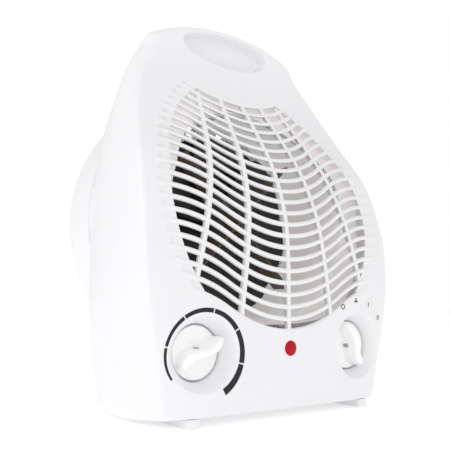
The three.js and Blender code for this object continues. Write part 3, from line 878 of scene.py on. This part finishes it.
    def underside(self, skin: Skin, rim: Array, turn: int, lower: Array) -> None:
        """Adds the floor: the panel's lower edge carried back to the parting, its side along the flank.

        Args:
            skin: The skin to add to.
            rim: The lowest row of the crease and flank.
            turn: How many of its points belong to the crease.
            lower: The points of the panel's lower edge.
        """
        flank = rim[turn:]
        front = np.concatenate([lower[:-1], rim[:turn + 1]])
        share = (flank[:, 1] - flank[0, 1]) / (flank[-1, 1] - flank[0, 1])
        depth = lerp(front[:, 1], self.form.parting, share[:, None])
        x = front[:, 0] / front[-1, 0] * flank[:, :1]
        z = lerp(front[:, 2], self.form.floor(depth), np.minimum(1.0, share * 8)[:, None])
        z[:, -1] = flank[:, 2]
        depth[:, -1] = flank[:, 1]
        skin.grid(np.stack([x, depth, z], axis=-1), flip=True)

    def cap(self, skin: Skin, lip_x: Array, lip_z: Array) -> tuple[Array, Array]:
        """Adds the crown above the scoop.

        The crown's edge is the panel's outline above the shoulder. Each column of the lip has a partner on
        it, and rows run straight between them.

        Args:
            skin: The skin to add to.
            lip_x: Places across of the lip's points.
            lip_z: Their heights.

        Returns:
            The crown's edge and the points beside it, both from the shoulder up.
        """
        form = self.form
        heights = np.linspace(self.shoulder, form.top, 4000)
        halves = form.edge_half(heights)
        shoulder_x = lip_x[-1]
        beyond = lerp(self.tip_partner, shoulder_x, np.append(self.outer, 1.0))
        partner = np.concatenate([self.inner * self.tip_partner, beyond])
        partner[-1] = shoulder_x
        arch_z = np.interp(partner, halves[::-1], heights[::-1])
        lean = np.arccos(np.clip(partner / shoulder_x, 0.0, 1.0))
        near_x = partner - self.edge_round * np.cos(lean)
        near_z = arch_z - self.edge_round * np.sin(lean)
        near_x[-2:], near_z[-2:] = lip_x[-2], lip_z[-2]
        arch_z[-1] = lip_z[-1]
        brow = np.where(lip_x < self.scoop_half, self.brow_line(lip_x), lip_z)
        share = np.linspace(0.0, 1.0, 9)[:, None]
        x, z = lerp(lip_x, near_x, share)[:, :-1], lerp(brow, near_z, share)[:, :-1]
        points = np.stack([x, form.panel(x, z), z], axis=-1)
        skin.grid(points, inward=self.straight_back(points))
        edge = np.stack([partner, form.panel(partner, arch_z), arch_z], axis=-1)
        near = np.stack([near_x, form.panel(near_x, near_z), near_z], axis=-1)
        return edge[::-1], near[::-1]

    def scoop(self, skin: Skin, lip_x: Array, lip_z: Array) -> None:
        """Adds the finger scoop: rings shrink from its oval rim to its middle while they go back along a
        rounded wall to a flat floor.

        Args:
            skin: The skin to add to.
            lip_x: Places across of the lip's points.
            lip_z: Their heights.
        """
        low = np.stack([lip_x, lip_z], axis=-1)
        high = np.stack([lip_x, self.brow_line(lip_x)], axis=-1)[::-1][1:]
        loop = np.concatenate([low, high])
        middle = np.array([0.0, (self.scoop_low + self.scoop_high) / 2])
        profile = rounded([(1.0, 0.0), (0.965, 0.10), (0.90, 0.85), (0.80, 1.0), (0.0, 1.0)], 0.09, 5)
        size, sink = np.array(profile).T
        spot = lerp(middle, loop, size[:, None, None])
        rim_depth = self.form.panel(loop[:, 0], loop[:, 1])
        depth = lerp(rim_depth, self.scoop_back, sink[:, None])
        skin.grid(np.stack([spot[..., 0], depth, spot[..., 1]], axis=-1))

    def straight_back(self, points: Array, groove: Optional[Array] = None) -> Array:
        """The way to the inner wall, for one unit of thickness: straight back, and less in a groove.

        Args:
            points: The panel's points.
            groove: How deep the groove is at each point.

        Returns:
            One way a point.
        """
        way = np.zeros_like(points)
        way[..., 1] = 1.0 if groove is None else 1.0 - groove / self.wall * 0.8
        return way

    def ribs(self, skin: Skin) -> None:
        """Adds the five upright ribs behind the bars, each a rounded bar that follows the panel.

        Args:
            skin: The skin to add to.
        """
        places = ((50.0, 201.0, lambda z: 0.0 * z), (54.0, 207.0, lambda z: 35.2 - 0.129 * (z - 62.7)),
                  (78.0, 205.0, lambda z: 61.1 - 0.254 * (z - 97.3)))
        section = np.array([(-1.4, 2.2), (-1.4, 0.9), (-0.8, 0.4), (0.8, 0.4), (1.4, 0.9), (1.4, 2.2),
                            (1.1, 4.2), (-1.1, 4.2)])
        for low, high, place_at in places:
            z = np.linspace(low, high, 48)[:, None]
            for side in Side if low > 50 else (Side.RIGHT,):
                x = side.value * place_at(z) + section[:, 0]
                depth = self.form.panel(side.value * place_at(z), z) + section[:, 1]
                skin.grid(np.stack([x, depth, np.broadcast_to(z, x.shape)], axis=-1), wrap=True)
                for end, flip in ((0, True), (-1, False)):
                    ring = np.stack([x[end], depth[end], np.full(len(section), z[end, 0])], axis=-1)
                    middle = np.broadcast_to(ring.mean(axis=0), ring.shape)
                    skin.grid(np.stack([ring, middle]), wrap=True, flip=flip)

    def build(self) -> bpy.types.Object:
        """Builds the cover as one closed shell, and its ribs as a second piece.

        Returns:
            The cover's shell.
        """
        x, z, groove, solid = self.rows()
        depth = self.form.panel(x, z) + groove
        points = np.stack([x, depth, z], axis=-1)
        half = Skin(self.form.front)
        column = int(np.argmin(np.abs(self.inner - 0.5)))
        row_from, row_to = 5, 35
        solid[row_from:row_to, column:] = False
        solid[:, -1] = False
        half.grid(points, keep=solid, inward=self.straight_back(points, groove))
        self.seat(half, x[row_from:row_to + 1, column:-1], z[row_from:row_to + 1, column:-1])
        cap_edge, cap_near = self.cap(half, x[-1], z[-1])
        self.scoop(half, x[-1, :len(self.inner)], z[-1, :len(self.inner)])
        edge = np.concatenate([points[:, -1], cap_edge[1:]])
        near = np.concatenate([points[:, -2], cap_near[1:]])
        self.band(half, edge, near, points[0, :-1])
        whole = Skin(self.form.front)
        whole.mirrored(half)
        piece = whole.make("front_cover_moulding", CASING_ABS, Body.HOUSING, self.wall)
        crease_shading(piece, 50.0)
        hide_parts("front_cover")
        bars = Skin(self.form.front)
        self.ribs(bars)
        ribs = bars.make("front_cover_ribs", CASING_ABS, Body.HOUSING)
        crease_shading(ribs, 50.0)
        return piece


# ---------------------------------------------------------------------------------------------
# Rear cover
# ---------------------------------------------------------------------------------------------


@dataclass
class RearCover:
    """The rear cover: a shallow tray with the round fan drum, whose back has two rings of intake slots.

    It is a polar grid about the drum's axis. In each sector the columns keep to the slots' straight sides.
    """

    form: Form
    drum_z: float
    drum_radius: float
    drum_depth: float
    slot_rings: tuple[tuple[float, float], ...] = ((37.0, 56.0), (62.0, 83.0))
    slot_width: float = 6.0
    back_rings: tuple[float, ...] = (87.0, 83.0, 72.5, 62.0, 59.0, 56.0, 46.5, 37.0, 34.5, 34.0, 32.0,
                                     31.4, 24.0, 12.0, 0.0)
    sectors: int = 18
    edge: float = 5.0
    wall: float = 2.5
    part_gap: float = 0.12

    def outline(self, depth: float, angle: Array) -> tuple[Array, Array]:
        """Polar radius and height of the casing's outline at a depth.

        The outline is sampled finely as points, and the radius is read off between them by angle.

        Args:
            depth: Where the outline is wanted.
            angle: Angles clockwise from straight up.

        Returns:
            Radius from the drum's axis, and height.
        """
        z = np.concatenate([np.zeros(60), np.linspace(0.0, 14.0, 300),
                            np.linspace(14.0, self.form.top, 3000)])
        half = self.form.edge_half(z)
        wide = self.form.flank(half, self.form.panel(half, z), z, np.full_like(z, depth))
        x = np.maximum(wide, 0.0)
        x[:60] = np.linspace(0.0, x[60], 60)
        turn = np.arctan2(x, z - self.drum_z)
        order = np.argsort(turn)
        radius = np.hypot(x, z - self.drum_z)
        found = np.interp(np.abs(angle), turn[order], radius[order])
        return found, self.drum_z + found * np.cos(angle)

    def build(self) -> bpy.types.Object:
        """Builds the cover as one closed shell.

        Returns:
            The shell.
        """
        steps = np.array([-1.0, -0.8, -0.6, -0.4, -0.2, 0.0, 0.2, 0.4, 0.6, 0.8])
        slot_cells = (np.arange(len(steps)) >= 3) & (np.arange(len(steps)) <= 6)
        bend = np.linspace(0.0, np.pi / 2, 6)
        rings: list[tuple[Array, Array, Array]] = []
        sector = 2 * np.pi / self.sectors

        def angles(radius: float) -> Array:
            """Column angles at a radius: four cells span a slot, and six the rest of the sector.

            Args:
                radius: Distance from the drum's axis.

            Returns:
                The angles, sector after sector.
            """
            slot = math.asin(min(1.0, self.slot_width / 2 / max(radius, 30.0)))
            inside = np.abs(steps) <= 0.41
            local = np.where(inside, steps / 0.4 * slot,
                             np.sign(steps) * (slot + (np.abs(steps) - 0.4) / 0.6 * (sector / 2 - slot)))
            return (np.arange(self.sectors)[:, None] * sector + local).reshape(-1)

        wide = angles(self.slot_rings[1][1])
        turned = (wide + np.pi) % (2 * np.pi) - np.pi
        start = self.form.parting + self.part_gap
        outer, height = self.outline(start, turned)
        back = self.form.back(height)
        corner = self.form.corner
        last, _ = self.outline(self.form.rear - corner, turned)
        rings.append((wide, np.maximum(outer, self.drum_radius), np.full_like(wide, start)))
        for turn in bend:
            radius = np.maximum(last - corner * (1 - math.cos(turn)), self.drum_radius)
            depth = np.maximum(back - corner + corner * math.sin(turn), start + 0.4 + turn)
            rings.append((wide, radius, depth))
        flat = np.maximum(last - corner, self.drum_radius + 1.5)
        for share in (0.33, 0.66, 1.0):
            radius = lerp(flat, self.drum_radius + 1.5, share)
            depth = lerp(np.maximum(back, start + 2.0), self.form.rear, share)
            rings.append((wide, np.minimum(radius, rings[-1][1]), depth))
        for turn in bend[1:]:
            rings.append((wide, np.full_like(wide, self.drum_radius + 1.5 * (1 - math.sin(turn))),
                          np.full_like(wide, self.form.rear + 1.5 * (1 - math.cos(turn)))))
        for depth in np.linspace(self.form.rear + 4, self.drum_depth - self.edge, 8):
            rings.append((wide, np.full_like(wide, self.drum_radius), np.full_like(wide, depth)))
        for turn in bend[1:]:
            rings.append((wide, np.full_like(wide, self.drum_radius - self.edge * (1 - math.cos(turn))),
                          np.full_like(wide, self.drum_depth - self.edge * (1 - math.sin(turn)))))
        open_rows = []
        for radius in self.back_rings:
            if any(low < radius <= high for low, high in self.slot_rings):
                open_rows.append(len(rings))
            sink = 1.2 * float(radius <= 31.4) + 0.6 * float(radius in (32.0,))
            depth = np.full_like(wide, self.drum_depth - sink)
            rings.append((angles(radius), np.full_like(wide, radius), depth))
        turn, radius, depth = (np.stack(part) for part in zip(*rings))
        points = np.stack([radius * np.sin(turn), depth, self.drum_z + radius * np.cos(turn)], axis=-1)
        keep = np.ones((len(rings) - 1, wide.size), bool)
        keep[np.ix_(open_rows, np.flatnonzero(np.tile(slot_cells, self.sectors)))] = False
        skin = Skin(self.form.front)
        skin.grid(points, keep=keep, wrap=True)
        piece = skin.make("rear_cover_moulding", CASING_ABS, Body.HOUSING, self.wall)
        crease_shading(piece, 45.0)
        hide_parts("rear_cover")
        return piece


# ---------------------------------------------------------------------------------------------
# Dials, prints, lamp and feet
# ---------------------------------------------------------------------------------------------


@dataclass
class Knob:
    """A dial knob: a shallow disc with a waved grip that stands across it and comes to a point."""

    node: str
    body: Body
    form: Form
    centre: tuple[float, float]
    points_at: float
    radius: float = 15.2
    face: float = 12.0
    back: float = 15.0
    crest: float = 0.7
    half_length: float = 16.0
    tail_length: float = 14.6
    half_width: float = 2.5
    wave: float = 2.0

    def build(self) -> bpy.types.Object:
        """Builds the disc as a turned profile and the grip as sections along the pointer.

        Each section is a flat-topped arch: across = half-width times cos^0.6, height = rise times sin^0.3.
        The middle line is one sine wave, and the plan closes to a point ahead and to a round tail behind.

        Returns:
            The knob.
        """
        skin = Skin(self.form.front)
        disc = rounded([(0.0, self.face), (self.radius - 0.3, self.face), (self.radius, self.face + 0.4),
                        (self.radius, self.back), (0.0, self.back)], 0.6, 4)
        lathe(skin, disc, 0.0, 0.0, 120)
        along = np.sin(np.linspace(-np.pi / 2, np.pi / 2, 49))[:, None]
        plan = np.sqrt(np.maximum(0.0, 1 - np.abs(along) ** 5))
        tail = smoothstep(-along, -0.2, 1.0)
        width = self.half_width * plan * (1 + 0.25 * tail)
        rise = (self.face - self.crest) * (0.35 + 0.65 * np.sqrt(plan)) * (1 - 0.12 * tail)
        arch = np.linspace(0.0, np.pi, 33)
        across = np.sign(np.cos(arch)) * np.abs(np.cos(arch)) ** 0.6
        up = np.sin(arch) ** 0.3
        middle = self.wave * np.sin(np.pi * along)
        x = middle + width * (1.0 + 0.16 * (1 - up)) * across
        depth = self.face + 0.5 - rise * up
        z = np.broadcast_to(np.where(along > 0, self.half_length, self.tail_length) * along, x.shape)
        skin.grid(np.stack([x, depth, z], axis=-1), flip=True)
        skin.turn(self.centre, self.points_at)
        piece = skin.make(f"{self.node}_moulding", KNOB_ABS_PAINTED_GLOW, self.body)
        crease_shading(piece, 60.0)
        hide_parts(self.node)
        return piece


@dataclass
class Prints:
    """Pad-printed marks: a ring of six arcs that widens round the thermostat, and the selector's signs."""

    form: Form
    dials: Dials
    film: float = 0.12
    ring_inner: float = 22.5
    ring_width: tuple[float, float] = (1.1, 4.0)
    ring_gaps: tuple[float, ...] = tuple(np.linspace(-126.0, 151.5, 7))
    gap: float = 2.0
    sign_radius: float = 29.0

    def film_of(self, skin: Skin, x: Array, z: Array) -> None:
        """Lays a grid of ink on the panel."""
        skin.grid(np.stack([x, self.form.panel(x, z) - self.film, z], axis=-1))

    def ring(self, skin: Skin) -> None:
        """Adds the arcs. Their width grows evenly with the angle clockwise from straight up.

        Args:
            skin: The skin to add to.
        """
        first, last = self.ring_gaps[0], self.ring_gaps[-1]
        for low, high in zip(self.ring_gaps, self.ring_gaps[1:]):
            turn = np.linspace(low + self.gap / 2, high - self.gap / 2, 30)
            width = np.interp(turn, [first, last], self.ring_width)
            radius = self.ring_inner + np.linspace(0.0, 1.0, 5)[:, None] * width
            angle = np.radians(turn)
            x, z = radius * np.sin(angle) - self.dials.x, radius * np.cos(angle) + self.dials.z
            self.film_of(skin, x, z)

    def sign(self, skin: Skin, degrees: float, x: Array, z: Array) -> None:
        """Adds one sign's grid at its angle about the selector, upright.

        Args:
            skin: The skin to add to.
            degrees: The sign's angle clockwise from straight up.
            x: The grid's places across, from the sign's middle.
            z: The grid's heights, from the sign's middle.
        """
        angle = math.radians(degrees)
        self.film_of(skin, self.dials.x + self.sign_radius * math.sin(angle) + x,
                     self.dials.z + self.sign_radius * math.cos(angle) + z)

    def build(self) -> list[bpy.types.Object]:
        """Builds the ring and the four signs: O, a three-lobed fan, I and II.

        Returns:
            The ring and the signs.
        """
        ring, signs = Skin(self.form.front), Skin(self.form.front)
        self.ring(ring)
        turn = np.linspace(0.0, 2 * np.pi, 49)
        circle = np.array([1.2, 1.75])[:, None]
        self.sign(signs, -30.0, circle * np.sin(turn), circle * np.cos(turn))
        lobes = (1.1 + 0.75 * np.cos(3 * turn)) * np.array([0.0, 0.5, 1.0])[:, None]
        self.sign(signs, -3.0, lobes * np.sin(turn), lobes * np.cos(turn))
        bar_x, bar_z = np.meshgrid(np.linspace(-0.28, 0.28, 3), np.linspace(-1.6, 1.6, 5))
        self.sign(signs, 24.0, bar_x, bar_z)
        for shift in (-0.7, 0.7):
            self.sign(signs, 52.0, bar_x + shift, bar_z)
        made = []
        for skin, name in ((ring, "thermostat_scale_print"), (signs, "selector_signs_print")):
            piece = skin.make(name, PRINT_INK, Body.HOUSING, self.film * 0.8)
            made.append(piece)
        return made


@dataclass
class Lamp:
    """The red lens of the indicator: a shallow dome on a rim, with a short sleeve into the panel."""

    form: Form
    x: float
    z: float
    radius: float
    proud: float

    def build(self) -> bpy.types.Object:
        """Builds the lens as a turned profile. The dome is a flat arc 0.5 mm high.

        Returns:
            The lens.
        """
        arc = [(self.radius * 0.86 * s, -self.proud + 0.5 * s**2) for s in np.linspace(0.0, 1.0, 9)]
        profile = arc + rounded([(self.radius * 0.86, -self.proud + 0.5), (self.radius, -self.proud + 0.55),
                                 (self.radius, 0.0)], 0.3, 3)[1:] + [(4.1, 0.0), (4.1, 8.0), (0.0, 8.0)]
        skin = Skin(self.form.front)
        lathe(skin, profile, self.x, self.z, 64)
        piece = skin.make("indicator_lens_moulding", LENS_RED, Body.HOUSING)
        crease_shading(piece, 40.0)
        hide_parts("indicator_lens")
        return piece


@dataclass
class Foot:
    """A wedge foot with rounded edges, sized by its frame node."""

    node: str

    def build(self) -> bpy.types.Object:
        """Builds the wedge: the node's box with its top sloping down to the back end.

        Returns:
            The foot.
        """
        low, high = box_mm(self.node)
        rear_top = 0.22 * high.z
        side = np.array([(low.y, 0.0), (high.y, 0.0), (high.y, rear_top), (low.y, high.z)])
        points = np.array([(x, y, z) for x in (low.x, high.x) for y, z in side])
        faces = [(0, 3, 2, 1), (4, 5, 6, 7), (0, 1, 5, 4), (1, 2, 6, 5), (2, 3, 7, 6), (3, 0, 4, 7)]
        mesh = bpy.data.meshes.new(f"{self.node}_moulding")
        mesh.from_pydata(points * MM, [], faces)
        piece = place(bpy.data.objects.new(f"{self.node}_moulding", mesh), CASING_ABS, Body.HOUSING)
        soften(piece, 0.6, 3)
        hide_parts(self.node)
        return piece


# ---------------------------------------------------------------------------------------------
# Inside
# ---------------------------------------------------------------------------------------------


@dataclass
class Duct:
    """The heater's duct: a round throat with a baffle that closes the space behind the grille."""

    form: Form
    z: float
    back: float
    inner: float = 70.0
    front: float = 24.0
    clear: float = 8.5
    half: float = 86.0
    rise: float = 98.0
    drop: float = 72.0

    def build(self) -> bpy.types.Object:
        """Builds throat and baffle as one shell.

        The baffle runs out from the throat's mouth to a squarish oval, sin and cos to the power 0.6, no
        nearer to the panel than the ribs reach.

        Returns:
            The duct.
        """
        angle = np.linspace(0.0, 2 * np.pi, 160, endpoint=False)
        across, up = (np.sign(part) * np.abs(part) ** 0.6 for part in (np.sin(angle), np.cos(angle)))
        oval_x, oval_z = self.half * across, np.where(up > 0, self.rise, self.drop) * up
        size = np.linspace(0.0, 1.0, 16)[:, None]
        x = lerp(self.inner * np.sin(angle), oval_x, size)
        z = self.z + lerp(self.inner * np.cos(angle), oval_z, size)
        depth = np.maximum(self.front, self.form.panel(x, z) + self.clear)
        mouth = np.stack([x, depth, z], axis=-1)[::-1]
        throat = np.linspace(0.0, 1.0, 8)[1:, None]
        tube_depth = lerp(depth[0], self.back, throat)
        tube = np.stack([np.broadcast_to(x[0], tube_depth.shape), tube_depth,
                         np.broadcast_to(z[0], tube_depth.shape)], axis=-1)
        skin = Skin(self.form.front)
        skin.grid(np.concatenate([mouth, tube]), wrap=True, flip=True)
        piece = skin.make("heater_duct_moulding", DUCT_PHENOLIC, Body.HOUSING, 1.5)
        crease_shading(piece, 40.0)
        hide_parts("heater_duct")
        return piece


@dataclass
class Fan:
    """The fan: a domed hub with wide blades that overlap, each a part turn of a screw."""

    form: Form
    z: float
    front: float
    back: float
    radius: float = 64.0
    hub: float = 13.0
    blades: int = 7
    sweep: float = 66.0
    thickness: float = 1.2

    def build(self) -> list[bpy.types.Object]:
        """Builds the blades as one skin with walls, and the hub as a turned profile.

        Depth goes evenly from front to back with the angle, and the tips are rounded by an eighth power.

        Returns:
            The blades and the hub.
        """
        vanes, hub = Skin(self.form.front), Skin(self.form.front)
        share = np.linspace(-1.0, 1.0, 25)
        reach = np.linspace(0.0, 1.0, 16)[:, None]
        radius = lerp(self.hub - 1.0, self.radius * (1 - 0.1 * share**8), reach)
        depth = lerp(self.front + self.thickness, self.back - self.thickness, (share + 1) / 2)
        for number in range(self.blades):
            turn = 2 * np.pi * number / self.blades + math.radians(self.sweep) / 2 * share + 0.2 * reach**2
            vanes.grid(np.stack([radius * np.sin(turn), np.broadcast_to(depth, radius.shape),
                                 self.z + radius * np.cos(turn)], axis=-1), flip=True)
        corners = [(0.0, self.front), (self.hub, self.front), (self.hub, self.back), (0.0, self.back)]
        profile = rounded(corners, 2.5, 5)
        lathe(hub, profile, 0.0, self.z, 64)
        made = [vanes.make("fan_blades_moulding", FAN_BLACK, Body.FAN, self.thickness),
                hub.make("fan_hub_moulding", FAN_BLACK, Body.FAN)]
        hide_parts("fan_impeller")
        for piece in made:
            crease_shading(piece, 50.0)
        return made


@dataclass
class HeatingWire:
    """One quarter of the element: fine zigzag wires on arcs about the duct's axis.

    Each arc is a radius and its least depth. Where the panel leans back, the wire keeps clear of it.
    """

    form: Form
    quarter: int
    z: float
    arcs: tuple[tuple[float, float], ...] = ((71.0, 26.0), (47.0, 54.0), (35.0, 54.0), (23.0, 54.0))
    clear: float = 7.3
    teeth_mm: float = 2.2
    amplitude: float = 2.2
    wire: float = 0.28

    def build(self) -> bpy.types.Object:
        """Builds each wire as a square tube along a triangle wave bent round an arc.

        Returns:
            The quarter's wires as one piece.
        """
        skin = Skin(self.form.front)
        start = math.pi / 4 + self.quarter * math.pi / 2
        for radius, depth in self.arcs:
            span = math.pi / 2 - 5.0 / radius
            teeth = int(radius * span / self.teeth_mm)
            turn = start + 2.5 / radius + np.linspace(0.0, span, 2 * teeth + 1)
            reach = radius + self.amplitude * np.where(np.arange(2 * teeth + 1) % 2 == 0, -0.5, 0.5)
            x, z = reach * np.cos(turn), self.z + reach * np.sin(turn)
            line = np.stack([x, np.maximum(depth, self.form.panel(x, z) + self.clear), z], axis=-1)
            out = np.stack([np.cos(turn), np.zeros_like(turn), np.sin(turn)], axis=-1)
            ahead = np.array([0.0, 1.0, 0.0])
            ring = [line + self.wire * (a * out + b * ahead) for a, b in ((1, 0), (0, 1), (-1, 0), (0, -1))]
            skin.grid(np.stack(ring, axis=1), wrap=True)
        piece = skin.make(f"heating_wire_{self.quarter + 1}", NICHROME, Body.HOUSING)
        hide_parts(f"heating_winding_{self.quarter + 1}")
        return piece


# ---------------------------------------------------------------------------------------------
# Studio
# ---------------------------------------------------------------------------------------------


@dataclass
class Studio:
    """Camera, pale floor and soft lights round the heater."""

    place_mm: tuple[float, float, float] = (-268.0, -354.1, 67.0)
    heading: float = 36.4
    pitch: float = 6.8
    lens: float = 52.64
    ambient: float = 0.74

    def camera(self) -> None:
        """Sets the camera: heading degrees to the right of +Y, pitch degrees up."""
        data = bpy.data.cameras.new("studio_camera")
        data.lens = self.lens
        data.sensor_width = 36.0
        data.clip_start, data.clip_end = 0.01, 50.0
        holder = bpy.data.objects.new("studio_camera", data)
        bpy.context.scene.collection.objects.link(holder)
        heading, pitch = math.radians(self.heading), math.radians(self.pitch)
        level = math.cos(pitch)
        ahead = Vector((math.sin(heading) * level, math.cos(heading) * level, math.sin(pitch)))
        holder.location = Vector(self.place_mm) * MM
        holder.rotation_mode = "QUATERNION"
        holder.rotation_quaternion = ahead.to_track_quat("-Z", "Y")
        bpy.context.scene.camera = holder

    def light(self, name: str, at: tuple[float, float, float], size: float, watts: float) -> None:
        """Adds a square area light that faces the heater's middle.

        Args:
            name: The light's name.
            at: Its place in metres.
            size: Its side in metres.
            watts: Its power.
        """
        data = bpy.data.lights.new(name, "AREA")
        data.size, data.energy = size, watts
        holder = bpy.data.objects.new(name, data)
        bpy.context.scene.collection.objects.link(holder)
        holder.location = at
        holder.rotation_mode = "QUATERNION"
        holder.rotation_quaternion = (Vector((0, 0, 0.12)) - Vector(at)).to_track_quat("-Z", "Y")

    def floor(self) -> None:
        """Adds the floor, a wide disc of studio paper just under the feet."""
        angle = np.linspace(0.0, 2 * np.pi, 96, endpoint=False)
        radius = np.array([0.0, 0.5, 2.0, 8.0, 30.0])[:, None]
        below = np.full((len(radius), len(angle)), -0.0002)
        points = np.stack([radius * np.cos(angle), radius * np.sin(angle), below], axis=-1)
        index = np.arange(5 * 96).reshape(5, 96)
        after = np.roll(index, -1, axis=1)
        quads = np.stack([index[:-1], index[1:], after[1:], after[:-1]], axis=-1).reshape(-1, 4)
        mesh = bpy.data.meshes.new("studio_floor")
        mesh.from_pydata(points.reshape(-1, 3), [], quads.tolist())
        holder = bpy.data.objects.new("studio_floor", mesh)
        bpy.context.scene.collection.objects.link(holder)
        mesh.materials.append(STUDIO_PAPER.material())

    def surround(self) -> None:
        """Sets a white surround, which lights the heater a little less than it shows."""
        world = bpy.data.worlds.new("studio_world")
        world.use_nodes = True
        tree = world.node_tree
        tree.nodes.clear()
        seen = add_node(tree, "ShaderNodeLightPath").outputs["Is Camera Ray"]
        strength = add_node(tree, "ShaderNodeMapRange", {"Value": seen}, To_Min=self.ambient, To_Max=1.0)
        white = add_node(tree, "ShaderNodeBackground", {"Strength": strength.outputs["Result"]},
                         Color=(1.0, 1.0, 1.0, 1.0))
        add_node(tree, "ShaderNodeOutputWorld", {"Surface": white.outputs["Background"]})
        bpy.context.scene.world = world

    def build(self) -> None:
        """Sets the whole studio."""
        self.camera()
        self.floor()
        self.surround()
        bpy.context.scene.view_settings.view_transform = "Standard"
        self.light("left_softbox", (-1.5, 0.1, 0.9), 1.0, 4.0)
        self.light("front_softbox", (-0.5, -1.5, 1.2), 1.2, 3.8)


# ---------------------------------------------------------------------------------------------
# The heater
# ---------------------------------------------------------------------------------------------


def dress_frame() -> None:
    """Gives every frame node that stays visible its procedural material."""
    for name, finish in CAD_FINISHES.items():
        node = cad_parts[name]
        node.data.materials.clear()
        node.data.materials.append(finish.material())


def main() -> None:
    """Builds the heater piece by piece and reports each one."""
    logging.basicConfig(level=logging.INFO, format="%(name)s: %(message)s")
    _, cover_high = box_mm("front_cover")
    _, drum_high = box_mm("rear_cover")
    spindles = [box_mm("thermostat_spindle"), box_mm("selector_spindle")]
    centres = [((low.x + high.x) / 2, (low.z + high.z) / 2) for low, high in spindles]
    lens_low, lens_high = box_mm("indicator_lens")
    duct_low, duct_high = box_mm("heater_duct")
    fan_low, fan_high = box_mm("fan_impeller")
    front = lens_low.y + LENS_PROUD
    form = Form(front=front, top=cover_high.z, parting=PARTING)
    dials = Dials(x=centres[1][0], z=centres[1][1])
    duct_z = (duct_low.z + duct_high.z) / 2
    Studio().build()
    dress_frame()
    builders = [
        FrontCover(form, Grille(), dials),
        RearCover(form, duct_z, DRUM_RADIUS, drum_high.y - front),
        Knob("thermostat_knob", Body.THERMOSTAT, form, centres[0], 58.0),
        Knob("selector_knob", Body.SELECTOR, form, centres[1], -30.0),
        Lamp(form, 0.0, (lens_low.z + lens_high.z) / 2, (lens_high.z - lens_low.z) / 2, LENS_PROUD),
        Foot("foot_left"),
        Foot("foot_right"),
        Duct(form, duct_z + MOUTH_LIFT, fan_high.y - front + THROAT_PAST_FAN),
        Fan(form, duct_z, fan_low.y - front, fan_high.y - front),
        *(HeatingWire(form, quarter, duct_z) for quarter in range(4)),
        Prints(form, dials),
    ]
    for builder in builders:
        made = builder.build()
        for piece in made if isinstance(made, list) else [made]:
            log.info("%s: %d faces", piece.name, len(piece.data.polygons))


if __name__ == "__main__":
    main()
